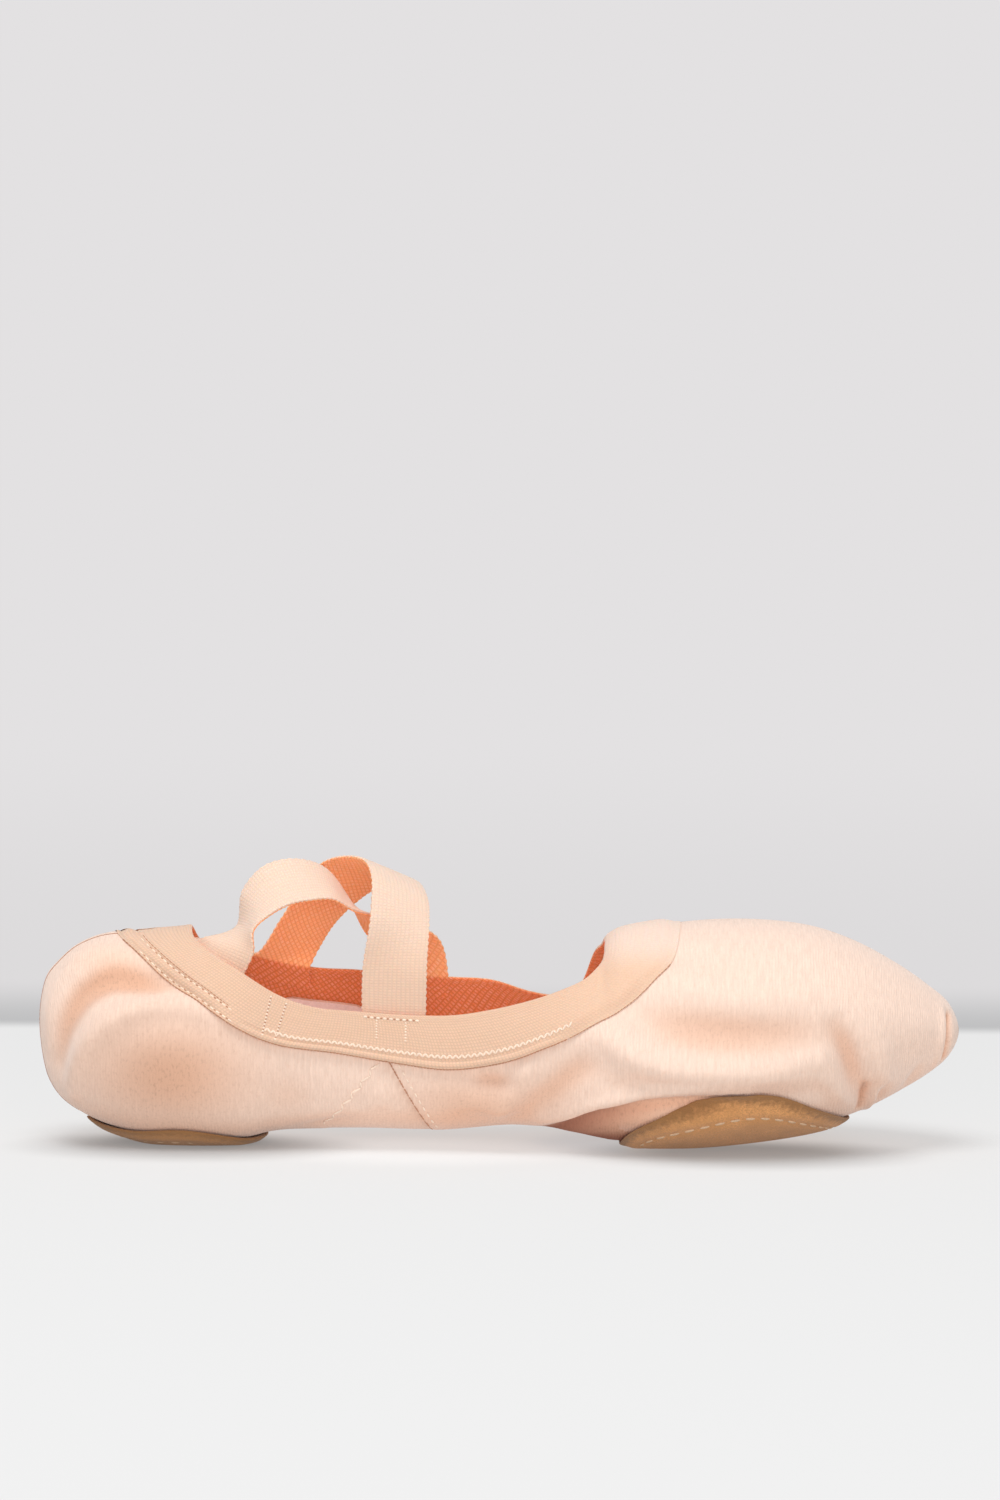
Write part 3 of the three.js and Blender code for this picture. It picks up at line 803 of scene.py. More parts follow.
def canvas_material(name, colours, sizes, sheen):
    """Fine upright ribs with slubs, deeper in the hollows as painted shade, and darker along the seams."""
    made = Nodes(name)
    vector, along, around = made.uv()
    drift = made.noise(made.stretched(vector, (0.05, 0.2, 1.0)))
    bent = made.math("MULTIPLY_ADD", drift, 1.2, along)
    ribs = made.ribs(bent, sizes.canvas_rib / MM)
    picks = made.ribs(around, 0.8)
    slubs = made.noise(made.stretched(vector, (1.4, 0.22, 1.0)), detail=3.0, roughness=0.6)
    fuzz = made.noise(vector, scale=1.6, detail=3.0, roughness=0.6)
    # The deep colour gives both the canvas's own specks and its painted shade.
    plain, hollow = colours.canvas, colours.canvas_specks_and_painted_shade
    lit = made.mix(made.ramp(slubs, 0.3, 0.75), tone(plain, 0.93), tone(plain, 1.06))
    ribbed = made.mix(made.math("MULTIPLY", ribs, 0.14), lit, tone(plain, 0.84))
    grains = made.noise(made.stretched(vector, (1.3, 0.9, 1.0)), detail=3.0, roughness=0.7)
    specks = made.ramp(grains, 0.5, 0.68)
    specked = made.mix(made.math("MULTIPLY", specks, 0.22), ribbed, tone(hollow))
    painted_shade = made.mix(specks, tone(hollow, 1.06), tone(hollow, 0.86))
    # The hollow attribute paints shade as a deeper tone in creases, on faces turned down, on the heel's
    # side, at the waist, below the collar, in the toe's slit and under the fold.
    with_painted_shade = made.mix(made.attribute("hollow"), specked, painted_shade)
    # The seam attribute is a dark seam line at the gusset, and painted shade in the toe's slit and pleat.
    seamed = made.mix(made.attribute("seam"), with_painted_shade, tone(colours.seam))
    # The shade attribute darkens towards the seam colour: painted shade in the creases, on the heel's side
    # and at the waist.
    shaded = made.mix(made.attribute("shade"), seamed, tone(colours.seam, 0.32))
    # The under attribute paints deep shade under the forefoot's fold.
    shaded = made.mix(made.attribute("under"), shaded, tone(colours.canvas_painted_under_shade))
    height = made.math("MULTIPLY_ADD", ribs, 0.45, made.math("MULTIPLY", picks, 0.06))
    height = made.math("ADD", height, made.math("MULTIPLY", slubs, 0.5))
    height = made.math("MULTIPLY_ADD", fuzz, 0.35, height)
    return made.finish(shaded, height, roughness=0.92, depth=0.00022, strength=0.65, sheen=sheen)


def lining_material(colours):
    """Plain fuzzy cotton, with a faint painted glow that stands in for light coming through the cloth."""
    made = Nodes("lining")
    fuzz = made.noise(made.uv()[0], scale=1.2, detail=3.0, roughness=0.6)
    colour = made.mix(made.ramp(fuzz, 0.3, 0.7), tone(colours.lining, 0.92), tone(colours.lining, 1.05))
    # Painted glow on the lining and the insole.
    made.glow(colour, strength=0.1)
    return made.finish(colour, fuzz, roughness=0.95, depth=0.0002)


def elastic_material(name, colour, throat_and_shade_colour, pitch_along, pitch_across, gaps):
    """Woven elastic: ribs along it, finer threads across and darker gaps between them."""
    made = Nodes(name)
    vector, along, across = made.uv()
    drift = made.noise(made.stretched(vector, (0.12, 0.12, 1.0)))
    ribs = made.ribs(made.math("MULTIPLY_ADD", drift, 0.5, across), pitch_across)
    threads = made.ribs(made.math("MULTIPLY_ADD", drift, 0.5, along), pitch_along)
    weave = made.math("MULTIPLY", made.ramp(ribs, 0.0, 0.55), made.ramp(threads, 0.0, 0.55))
    speck = made.noise(vector, scale=1.1)
    dark = tone(colour, 0.5)
    # Towards the throat colour: on the collar its top at the throat takes the canvas's tone; on the straps
    # it is painted shade on their lower parts.
    throat_toned_and_shaded = made.mix(made.attribute("throat_tone_and_strap_shade"), tone(colour), tone(throat_and_shade_colour))
    lit = made.mix(made.math("MULTIPLY", made.ramp(speck, 0.3, 0.7), 0.07), throat_toned_and_shaded, dark)
    gap = made.math("MULTIPLY_ADD", made.attribute("throat"), -0.8 * gaps, gaps)
    shown = made.mix(weave, made.mix(gap, lit, dark), lit)
    made.glow_through(weight=0.15, depth=0.0008)
    height = made.math("MULTIPLY_ADD", speck, 0.2, weave)
    return made.finish(shown, height, roughness=0.8, depth=0.0002, strength=0.4, sheen=0.25)


def twill_material(name, colour, tucked_colour):
    """The back of the elastic: a diagonal twill, in the collar's tone where it is tucked in, with a painted
    glow.
    """
    made = Nodes(name)
    vector, along, across = made.uv()
    slant = made.ribs(made.math("ADD", along, across), 1.3)
    counter = made.ribs(made.math("SUBTRACT", along, across), 2.0)
    speck = made.noise(vector, scale=0.9)
    weave = made.math("MULTIPLY", made.ramp(slant, 0.0, 0.6), made.ramp(counter, 0.0, 0.35))
    plain = made.mix(made.attribute("tucked"), tone(colour), tone(tucked_colour))
    lit = made.mix(made.ramp(speck, 0.3, 0.7), plain, made.mix(0.12, plain, WHITE))
    shown = made.mix(weave, made.mix(0.16, plain, BLACK), lit)
    made.glow_through(weight=0.5, depth=0.0015)
    # A painted glow that stands in for light coming through the thin elastic.
    made.glow(shown, strength=0.16)
    return made.finish(shown, weave, roughness=0.85, depth=0.0002, strength=0.5)


def suede_material(colours):
    """Napped suede, darker and fuzzy along its cut edge."""
    made = Nodes("suede")
    place = made.place()
    patches = made.noise(place, scale=140.0, detail=3.0, roughness=0.6)
    nap = made.noise(place, scale=2600.0, roughness=0.6)
    plain = colours.suede
    mottled = made.mix(made.ramp(patches, 0.3, 0.7), tone(plain, 0.86), tone(plain, 1.1))
    napped = made.mix(made.ramp(nap, 0.35, 0.65), tone(plain, 0.8), mottled)
    # Darker all over by each patch's given share.
    darkened = made.mix(made.attribute("darkened"), napped, tone(plain, 0.6))
    fray = made.noise(place, scale=900.0)
    ragged = made.math("MULTIPLY_ADD", fray, 0.09, made.attribute("rim"))
    edged = made.mix(made.ramp(ragged, 0.96, 1.03), darkened, tone(plain, 0.45))
    return made.finish(edged, nap, roughness=0.95, depth=0.0004, strength=0.8, sheen=0.2)


def thread_material(name, colour):
    """Twisted thread with a slight change of tone along it."""
    made = Nodes(name)
    twist = made.noise(made.place(), scale=3000.0, detail=1.0)
    shown = made.mix(made.ramp(twist, 0.3, 0.7), tone(colour, 0.88), tone(colour, 1.05))
    return made.finish(shown, twist, roughness=0.75, depth=0.0001, strength=0.6)


# The floor's tones, in metres: depths where the wall would start and rise, and the soft ovals of painted
# shadow round the heel and ball and of painted light under the arch.
WALL_EDGE = (0.226, 0.25)
WALL_FOOT_RISE = (0.24, 0.36)
WALL_RISE = (0.3, 1.4)
OVAL_HALF_SIZE = (0.05, 0.032)
HEEL_SHADOW_OVAL = (-0.078, -0.012)
BALL_SHADOW_OVAL = (0.062, -0.02)
ARCH_LIGHT_OVAL = (-0.02, -0.018)


def floor_oval(made, place, middle):
    """A soft oval on the floor: painted light under the arch, and painted shadow round a spot that the shoe
    stands on.
    """
    half_length, half_width = OVAL_HALF_SIZE
    moved = (-middle[0] / half_length, -middle[1] / half_width, 0)
    scale = (1 / half_length, 1 / half_width, 1)
    node = made.add("ShaderNodeMapping", Vector=place, Location=moved, Scale=scale)
    length = made.tree.nodes.new("ShaderNodeVectorMath")
    length.operation = "LENGTH"
    made.feed(length.inputs[0], node.outputs[0])
    return made.ramp(length.outputs["Value"], 1.0, 0.35)


def floor_material(colours):
    """A pale floor that glows, as painted light that softens the shoe's shadows on it, with painted shade
    where the wall would stand, and plain grey behind it.
    """
    made = Nodes("floor")
    place = made.place()
    depth = made.add("ShaderNodeSeparateXYZ", Vector=place).outputs[1]
    behind = made.ramp(depth, *WALL_EDGE)
    low = made.ramp(depth, *WALL_FOOT_RISE)
    high = made.ramp(depth, *WALL_RISE)
    # Painted shade at the wall's foot, lightening up the wall.
    foot = made.mix(low, tone(colours.wall_foot_shade), tone(colours.wall, 0.94))
    wall = made.mix(high, foot, tone(colours.wall))
    plain = colours.floor
    made.feed(made.surface.inputs["Base Color"], made.mix(behind, tone(plain), BLACK))
    heel, ball, arch = (floor_oval(made, place, oval) for oval in (HEEL_SHADOW_OVAL, BALL_SHADOW_OVAL, ARCH_LIGHT_OVAL))
    # Painted light under the arch, and painted contact shadows round the heel and ball.
    lit = made.mix(arch, tone(plain, 1.46), tone(plain, 1.66))
    shown = made.mix(made.math("MAXIMUM", heel, ball), lit, tone(plain, 0.64))
    made.glow(made.mix(behind, shown, wall), strength=1.0)
    made.surface.inputs["Specular IOR Level"].default_value = 0.0
    return made.material


class ShoeSizes(bpy.types.PropertyGroup):
    canvas_wall: bpy.props.FloatProperty(
        name="Canvas", description="Thickness of the canvas", default=0.0012, unit="LENGTH")
    canvas_rib: bpy.props.FloatProperty(
        name="Canvas rib", description="Pitch of the canvas's upright ribs", default=0.00075, unit="LENGTH")
    elastic_wall: bpy.props.FloatProperty(
        name="Collar", description="Thickness of the collar's elastic", default=0.0011, unit="LENGTH")
    strap_wall: bpy.props.FloatProperty(
        name="Strap", description="Thickness of a strap", default=0.001, unit="LENGTH")
    strap_width: bpy.props.FloatProperty(
        name="Strap width", description="Width of a strap", default=0.0155, unit="LENGTH")
    suede_wall: bpy.props.FloatProperty(
        name="Suede", description="Thickness of the sole patches", default=0.0016, unit="LENGTH")
    insole_wall: bpy.props.FloatProperty(
        name="Insole", description="Thickness of the insole", default=0.0015, unit="LENGTH")
    insole_share: bpy.props.FloatProperty(
        name="Insole share", description="Insole's width as a share of the last's",
        default=0.62, subtype="FACTOR")


def colour_property(name, description, default):
    return bpy.props.FloatVectorProperty(
        name=name, description=description, default=default, subtype="COLOR", min=0.0, max=1.0)


class ShoeColours(bpy.types.PropertyGroup):
    canvas: colour_property("Canvas", "Canvas of the upper", (0.87, 0.66, 0.545))
    # Canvas hollows is the tone of the canvas's specks and of its painted shade in creases and on faces
    # turned down.
    canvas_specks_and_painted_shade: colour_property("Canvas hollows", "Canvas in its creases", (0.8, 0.475, 0.325))
    # Canvas under the fold is painted shade under the forefoot.
    canvas_painted_under_shade: colour_property("Canvas under the fold", "Canvas under the forefoot", (0.3, 0.1, 0.06))
    # Seams colours the seam lines, and also painted shade in the creases, in the toe's slit and in the
    # needle holes.
    seam: colour_property("Seams", "Shaded seam lines", (0.52, 0.26, 0.16))
    lining: colour_property("Lining", "Lining and insole", (0.9, 0.72, 0.67))
    elastic: colour_property("Collar", "Outside of the collar", (0.8, 0.535, 0.38))
    strap: colour_property("Strap", "Outside of the straps", (0.88, 0.65, 0.51))
    # The backs' deep orange is partly their own tone and partly painted light bounced round the inside of
    # the shoe.
    elastic_back: colour_property("Collar back", "Inside of the collar", (0.74, 0.21, 0.076))
    strap_back: colour_property("Strap back", "Inside of the straps", (0.92, 0.39, 0.17))
    suede: colour_property("Suede", "Sole patches", (0.74, 0.36, 0.14))
    thread: colour_property("Thread", "Seam thread of the upper", (0.95, 0.76, 0.62))
    sole_thread: colour_property("Sole thread", "Thread of the sole patches", (0.72, 0.5, 0.32))
    floor: colour_property("Floor", "Floor under the shoe", (0.33, 0.33, 0.33))
    wall: colour_property("Behind", "Backdrop far behind the shoe", (0.768, 0.753, 0.76))
    # Wall's foot is painted shade where the wall would meet the floor.
    wall_foot_shade: colour_property("Wall's foot", "Backdrop where the wall would stand", (0.53, 0.53, 0.535))


def spots(table, points):
    """The sum of a table's soft spots at points."""
    total = np.zeros(len(points))
    for _, strength, station, half_length, height, half_height in table:
        along = bump(station_of(points), station, half_length)
        total += strength * along * bump(points[:, 2], height, half_height)
    return total


class SHOE_OT_upper(bpy.types.Operator):
    """Build the canvas upper with its lining, creases and gusset"""
    bl_idname = "shoe.upper"
    bl_label = "Upper"

    def execute(self, context):
        sizes, colours = context.scene.shoe_sizes, context.scene.shoe_colours
        obj, column, ring = new_grid("upper", UPPER_COLUMNS, UPPER_ROWS)
        rows, length = self.even_rows()
        row = rows[column]
        turn = ring / UPPER_ROWS
        points = skin(row, turn)
        moved = relief(points)
        place_vertices(obj, raised(row, turn, moved)[0])
        girth = UPPER_GIRTH * np.arange(UPPER_ROWS + 1) / UPPER_ROWS
        stretch_uv(obj, length, girth)
        # hollow, shade and under paint shade on the canvas; seam is a dark seam line, with painted shade in
        # the toe's slit.
        attributes = {
            "hollow": self.painted_shade_tint(obj, points, moved),
            "seam": self.seam_and_slit_shade(points),
            "shade": self.deep_shade(points, moved),
            "under": self.under_shade(points),
            "row": row,
            "turn": turn,
        }
        for name, values in attributes.items():
            add_attribute(obj, name, values)
        self.cut_openings(obj)
        close_seams(obj)
        lining = lining_material(colours)
        canvas = canvas_material("canvas", colours, sizes, sheen=0.35)
        # The canvas without sheen is a shaded copy, for painted shade under the fold.
        underside = canvas_material("canvas underside", colours, sizes, sheen=0.0)
        for material in (canvas, lining, underside, lining):
            obj.data.materials.append(material)
        self.shade_underside(obj)
        wall = obj.modifiers.new("wall", "SOLIDIFY")
        wall.thickness = sizes.canvas_wall
        wall.offset = -1.0
        wall.material_offset = 1
        bpy.ops.object.modifier_apply(modifier=wall.name)
        finish_piece(obj, ["upper_canvas"], 80)
        return {"FINISHED"}

    def even_rows(self):
        """Row numbers at even steps along the side, closer at heel and toe, and their length."""
        side = skin(ROW_SAMPLES, np.full_like(ROW_SAMPLES, 0.25))
        length = run_length(side)
        station = STATION_SAMPLES[1:]
        toe, heel = smoothstep(190, 205, station), smoothstep(16, 8, station)
        closer = 1 + 0.9 * toe + 0.6 * heel
        weighted = np.concatenate([[0], np.cumsum(np.diff(length) * closer)])
        rows = np.interp(np.linspace(0, weighted[-1], UPPER_COLUMNS + 1), weighted, ROW_SAMPLES)
        return rows, np.interp(rows, ROW_SAMPLES, length)

    def painted_shade_tint(self, obj, points, moved):
        """Painted shade as a deeper colour: in the creases, on faces turned down, on the heel's side, at
        the waist, below the collar, in the toe's slit and where the canvas turns down to the sole.
        """
        normals = np.empty(len(moved) * 3)
        obj.data.vertices.foreach_get("normal", normals)
        up = normals.reshape(-1, 3)[:, 2]
        shade_facing_down = 0.1 * smoothstep(0.3, -0.3, up) + 0.5 * smoothstep(-0.5, -0.9, up)
        heel = smoothstep(60, 40, station_of(points))
        crease_shade = (0.6 + 0.25 * heel) * smoothstep(-0.4, -3.4, moved)
        slit = bump(from_slit(points), 0.0, 1.0)
        painted_shade = crease_shade + shade_facing_down + spots(SHADE_TINT_SPOTS, points) + slit + self.under_fold(points)
        return np.clip(painted_shade, 0, 1)

    def under_fold(self, points):
        """The underside between the forefoot's fold and its sole patch, where shade is painted, darkest
        towards the arch.
        """
        station = station_of(points)
        line = np.interp(station, *np.array(UNDER_FOLD).T)
        below = smoothstep(1.4, -0.6, points[:, 2] - line)
        return below * between(station, *UNDER_FOLD_ENDS)

    def under_shade(self, points):
        """Painted shade on the darkest part of the underside: towards the arch and low down by the sole
        patch.
        """
        towards_arch = smoothstep(45, 10, points[:, 0])
        by_patch = smoothstep(9, 2.5, points[:, 2])
        return 0.95 * self.under_fold(points) * np.maximum(towards_arch, by_patch)

    def shade_underside(self, obj):
        """Gives the faces under the fold the canvas that has no sheen, a shaded copy of it that paints
        shade there.
        """
        under = np.empty(len(obj.data.vertices))
        obj.data.attributes["under"].data.foreach_get("value", under)
        for face in obj.data.polygons:
            if under[list(face.vertices)].mean() > SHADED_UNDERSIDE_FROM:
                face.material_index = SHADED_UNDERSIDE_SLOT

    def seam_and_slit_shade(self, points):
        """A fine dark line along the gusset's front seam, and painted shade in the toe's slit and pleat."""
        height = points[:, 2]
        front = edge_distance(station_of(points), height, GUSSET_APEX, GUSSET_FRONT_FOOT)
        below = height < GUSSET_APEX[1]
        gusset = bump(front, -0.5, 0.6) * below * smoothstep(*GUSSET_LOW_END, height)
        return 0.3 * gusset + 0.7 * bump(from_slit(points), 0.0, 0.5)

    def deep_shade(self, points, moved):
        """Where little light comes: in the creases, on the heel's side and at the waist."""
        heel = smoothstep(50, 40, station_of(points))
        crease_shade = (0.06 + 0.1 * heel) * smoothstep(-0.6, -3.0, moved)
        return crease_shade + spots(SHADE_SPOTS, points)

    def opening_depth(self, row, turn):
        """Height above the line where the canvas ends under the collar."""
        points = skin(row, turn)
        station = station_of(points)
        is_near = points[..., 1] <= 0
        depth = []
        for side in (NEAR, FAR):
            lining = between(collar_line(0.0, side)[0], *FAR_LINING_ENDS)
            share = CANVAS_UNDER_COLLAR + (FAR_LINING_SHARE * lining if side > 0 else 0.0)
            stations, heights = collar_line(share, side)
            line = np.interp(station, stations, heights, left=OFF_COLLAR, right=OFF_COLLAR)
            depth.append(points[..., 2] - line)
        return np.where(is_near, *depth)

    def cut_openings(self, obj):
        """Takes out the faces above the canvas's edge and those inside the sole patches' seams."""
        mesh = bmesh.new()
        mesh.from_mesh(obj.data)
        layers = [mesh.verts.layers.float[name] for name in ("row", "turn")]
        row, turn = self.places_on_last(mesh.verts, layers)
        points = skin(row, turn)
        depth = self.opening_depth(row, turn)
        in_sole = np.zeros(len(points), bool)
        for patch in (HEEL_PATCH, BALL_PATCH):
            in_sole |= inside_patch(patch, PATCH_SEAM_ALLOWANCE, station_of(points), points[:, 1])
        in_sole &= points[:, 2] < UNDERSIDE_TOP
        cut = []
        for face in mesh.faces:
            corners = [v.index for v in face.verts]
            if depth[corners].mean() > 0 or in_sole[corners].all():
                cut.append(face)
        rim = {v for face in cut for v in face.verts if abs(depth[v.index]) < RIM_REACH}
        bmesh.ops.delete(mesh, geom=cut, context="FACES")
        self.smooth_rim([v for v in rim if v.is_valid], layers)
        mesh.to_mesh(obj.data)
        mesh.free()

    def places_on_last(self, vertices, layers):
        return [np.array([v[layer] for v in vertices]) for layer in layers]

    def smooth_rim(self, rim, layers):
        """Moves the vertices along the cut onto the cutting line."""
        row, turn = self.places_on_last(rim, layers)
        row_cell, turn_cell = 0.06, 1.0 / UPPER_ROWS
        probe = 0.1
        for _ in range(RIM_ROUNDS):
            depth = self.opening_depth(row, turn)
            by_row = (self.opening_depth(row + probe * row_cell, turn) - depth) / probe
            by_turn = (self.opening_depth(row, turn + probe * turn_cell) - depth) / probe
            steep = np.maximum(by_row ** 2 + by_turn ** 2, 1e-6)
            row = row - np.clip(depth * by_row / steep, -1, 1) * row_cell
            turn = turn - np.clip(depth * by_turn / steep, -1, 1) * turn_cell
        points = raised(row, turn, relief(skin(row, turn)))[0]
        for vertex, point in zip(rim, points):
            vertex.co = point * MM


class SHOE_OT_collar(bpy.types.Operator):
    """Build the elastic collar with its rolled hem"""
    bl_idname = "shoe.collar"
    bl_label = "Collar"

    def execute(self, context):
        sizes, colours = context.scene.shoe_sizes, context.scene.shoe_colours
        points, length = self.rings(sizes.elastic_wall / MM)
        around = run_length(points[COLLAR_WIDTH_STEP])
        inner = COLLAR_OUTER_RINGS + 2 + np.arange(COLLAR_INNER_RINGS)
        outside = elastic_material(
            "collar elastic", colours.elastic, colours.canvas,
            pitch_along=0.8, pitch_across=0.85, gaps=0.26)
        inside = twill_material("collar back", colours.elastic_back, colours.elastic_back)
        obj = closed_band("collar", points, length, around, inner, [outside, inside])
        places = places_of(obj)
        throat = smoothstep(120, 148, station_of(places))
        add_attribute(obj, "throat", throat)
        add_attribute(obj, "throat_tone_and_strap_shade", throat * smoothstep(45, 53, places[:, 2]))
        close_seams(obj)
        finish_piece(obj, ["elastic_collar"])
        return {"FINISHED"}

    def rings(self, wall):
        """Points of the band's rings, up its outer face and down its inner one, and its length."""
        outer = [(share, 1.0) for share in np.linspace(0, 1, COLLAR_OUTER_RINGS + 1)]
        inner = [(share, 0.0) for share in np.linspace(1, 0, COLLAR_INNER_RINGS + 1)]
        rings = []
        for number, (share, thick) in enumerate([*outer, *TOP_ROLL, *inner, *HEM_ROLL, outer[0]]):
            row, turn = collar_loop(share)
            base = skin(row, turn)
            lift = (LAYER_GAP + wall * thick) * hem_thinning(share, base)
            if number <= COLLAR_OUTER_RINGS:
                lift = lift + collar_profile(share, base)
            rings.append(raised(row, turn, lift + collar_relief(share, base))[0])
            if number == COLLAR_OUTER_RINGS // 2:
                length = run_length(base)
        return np.stack(rings, axis=1), length


class SHOE_OT_straps(bpy.types.Operator):
    """Build the two crossed elastic straps"""
    bl_idname = "shoe.straps"
    bl_label = "Straps"

    def execute(self, context):
        sizes, colours = context.scene.shoe_sizes, context.scene.shoe_colours
        outside = elastic_material(
            "strap elastic", colours.strap, colours.elastic,
            pitch_along=0.7, pitch_across=1.1, gaps=0.18)
        inside = twill_material("strap back", colours.strap_back, colours.elastic_back)
        for name, strap in (("front", FRONT_STRAP), ("rear", REAR_STRAP)):
            self.build(name, strap, sizes, [outside, inside])
        return {"FINISHED"}

    def lane(self, strap, across, wall):
        """A line along the strap: up out of the near collar, over the instep and into the far one."""
        near_base, far_base, near_share, rows = strap
        near_foot = self.foot(near_base + across * near_share, NEAR, wall)
        far_foot = self.foot(far_base + across, FAR, wall)
        free = rows[:, :3] - (HALF_LENGTH, 0, 0) + unit(rows[:, 3:]) * across
        return centripetal_curve(np.vstack([near_foot, free, far_foot[::-1]]), STRAP_STEPS)

    def foot(self, station, side, wall):
        """Three points inside the collar, from the end of the tuck to the collar's edge."""
        station = np.array(station)
        points = []
        for share in (1, 0.5, 0):
            height = collar_top(station, side) - share * STRAP_TUCK
            points.append(raised(*wall_place(station, height, side), -LAYER_GAP - wall / 2)[0])
        return points

    def build(self, name, strap, sizes, materials):
        """One strap: lanes side by side, with a wall, woven edges and a back of its own."""
        wall = sizes.strap_wall / MM
        width = sizes.strap_width / MM
        shares = np.linspace(-0.5, 0.5, STRAP_LANES + 1)
        sheet = np.stack([self.lane(strap, share * width, wall) for share in shares], axis=1)
        along = np.gradient(sheet, axis=0)
        across = np.gradient(sheet, axis=1)
        normal = unit(np.cross(across, along))
        outward = unit(across)
        length = run_length(sheet[:, STRAP_LANES // 2])
        picot = PICOT_DEPTH * np.sin(length * 2 * math.pi / PICOT_PITCH)[:, None]
        thick = wall * (0.5 - STRAP_EDGE_THINNING * np.abs(2 * shares[None, :, None]) ** 8)
        rings = [sheet[:, i] + normal[:, i] * thick[:, i] for i in range(STRAP_LANES + 1)]
        for level, out in STRAP_EDGE:
            rings.append(sheet[:, -1] + normal[:, -1] * wall * level + outward[:, -1] * (out + picot))
        rings += [sheet[:, i] - normal[:, i] * thick[:, i] for i in range(STRAP_LANES, -1, -1)]
        for level, out in reversed(STRAP_EDGE):
            rings.append(sheet[:, 0] + normal[:, 0] * wall * level - outward[:, 0] * (out + picot))
        rings.append(rings[0])
        points = np.stack(rings, axis=1)
        around = run_length(points[len(points) // 2])
        inner = STRAP_LANES + 2 + np.arange(STRAP_LANES + 4)
        obj = closed_band(f"strap_{name}_cloth", points, length, around, inner, materials)
        places = places_of(obj)
        station = station_of(places)
        edge = np.where(places[:, 1] < 0, collar_top(station, NEAR), collar_top(station, FAR))
        add_attribute(obj, "tucked", smoothstep(0.6, -0.4, places[:, 2] - edge))
        # Painted shade on the straps' lower parts, towards the collar's tone.
        add_attribute(obj, "throat_tone_and_strap_shade", 0.6 * smoothstep(58, 45, places[:, 2]))
        close_seams(obj, fill=True)
        finish_piece(obj, [f"strap_{name}"])


class SHOE_OT_soles(bpy.types.Operator):
    """Build the suede patches and the insole"""
    bl_idname = "shoe.soles"
    bl_label = "Soles"

    def execute(self, context):
        sizes, colours = context.scene.shoe_sizes, context.scene.shoe_colours
        suede = suede_material(colours)
        self.patch("heel", HEEL_PATCH, HEEL_DARKENING, sizes, suede)
        self.patch("ball", BALL_PATCH, BALL_DARKENING, sizes, suede)
        self.insole(sizes, colours)
        return {"FINISHED"}

    def start_disc(self, name):
        """A sphere to be flattened: angle, reach from the middle to the rim, outer half or not."""
        obj, points = new_sphere(name, PATCH_SEGMENTS, PATCH_RINGS)
        fall = np.arccos(np.clip(points[:, 2], -1, 1)) / (math.pi / 2)
        reach = np.where(fall > 1, 2 - fall, fall)
        reach = 1 - (1 - reach) ** PATCH_CROWDING
        return obj, np.arctan2(points[:, 1], points[:, 0]), reach, fall > 1.0001

    def rounded_edge(self, reach, start):
        """1 up to a reach, then falling to 0 at the rim as a quarter circle does."""
        past = np.maximum(reach - start, 0) / (1 - start)
        return np.sqrt(np.clip(1 - past ** 2, 0, 1))

    def patch(self, name, patch, darkening, sizes, suede):
        """A suede patch with a thinned edge and a groove for its stitches."""
        obj, angle, reach, is_outer = self.start_disc(f"suede_{name}")
        middle_station, half_width = patch[2:4]
        edge_station, edge_y = patch_outline(patch, 0.0, angle)
        station = middle_station + (edge_station - middle_station) * reach
        row, turn = sole_place(station, edge_y * reach)
        base = skin(row, turn)
        skived = sizes.suede_wall / MM / 2 * (1 - SKIVED_SHARE * smoothstep(SKIVED_FROM, 1.0, reach))
        middle = LAYER_GAP + skived
        half = skived * self.rounded_edge(reach, PATCH_ROUND_FROM)
        groove = GROOVE_DEPTH * bump((1 - reach) * half_width, PATCH_STITCH_INSET, GROOVE_HALF_WIDTH)
        groove = groove * smoothstep(*GROOVE_RISE, base[:, 2])
        offset = np.where(is_outer, middle + half - groove, middle - half)
        place_vertices(obj, raised(row, turn, offset + relief(base))[0])
        add_attribute(obj, "rim", np.where(is_outer, reach, 1.1))
        add_attribute(obj, "darkened", np.full(len(reach), darkening))
        obj.data.materials.append(suede)
        close_seams(obj)
        finish_piece(obj, [f"sole_{name}_patch"])

    def insole(self, sizes, colours):
        """A cotton sock on the inside of the canvas, from heel to toe."""
        obj, angle, reach, is_outer = self.start_disc("insole")
        back = (1 - np.cos(angle)) / 2
        edge_station = INSOLE_TOE - back * (INSOLE_TOE - INSOLE_HEEL)
        half = half_width_at(edge_station) * sizes.insole_share
        side = np.abs(np.sin(angle))
        rounding = np.minimum(1.0, 0.25 + 3 * side)
        edge_y = np.sign(np.sin(angle)) * half * rounding * np.minimum(1.0, 4 * side)
        station = INSOLE_MIDDLE + (edge_station - INSOLE_MIDDLE) * reach
        row, turn = sole_place(station, edge_y * reach)
        top = -(sizes.canvas_wall / MM) - LAYER_GAP - sizes.insole_wall / MM
        half_wall = sizes.insole_wall / MM / 2
        outward = np.where(is_outer, half_wall, -half_wall)
        offset = top + half_wall + outward * self.rounded_edge(reach, INSOLE_ROUND_FROM)
        place_vertices(obj, raised(row, turn, offset + relief(skin(row, turn)))[0])
        obj.data.materials.append(lining_material(colours))
        close_seams(obj)
        finish_piece(obj, ["insole_sock"])


# Stitches: height as a share of the half width, half widths of the threads, and share of a step filled.
STITCH_HEIGHT = 0.8
HEEL_THREAD = 0.2
HEM_THREAD = 0.25
TACK_THREAD = 0.3
GUSSET_THREAD = 0.26
SOLE_THREAD = 0.42
SEAM_THREAD = 0.2
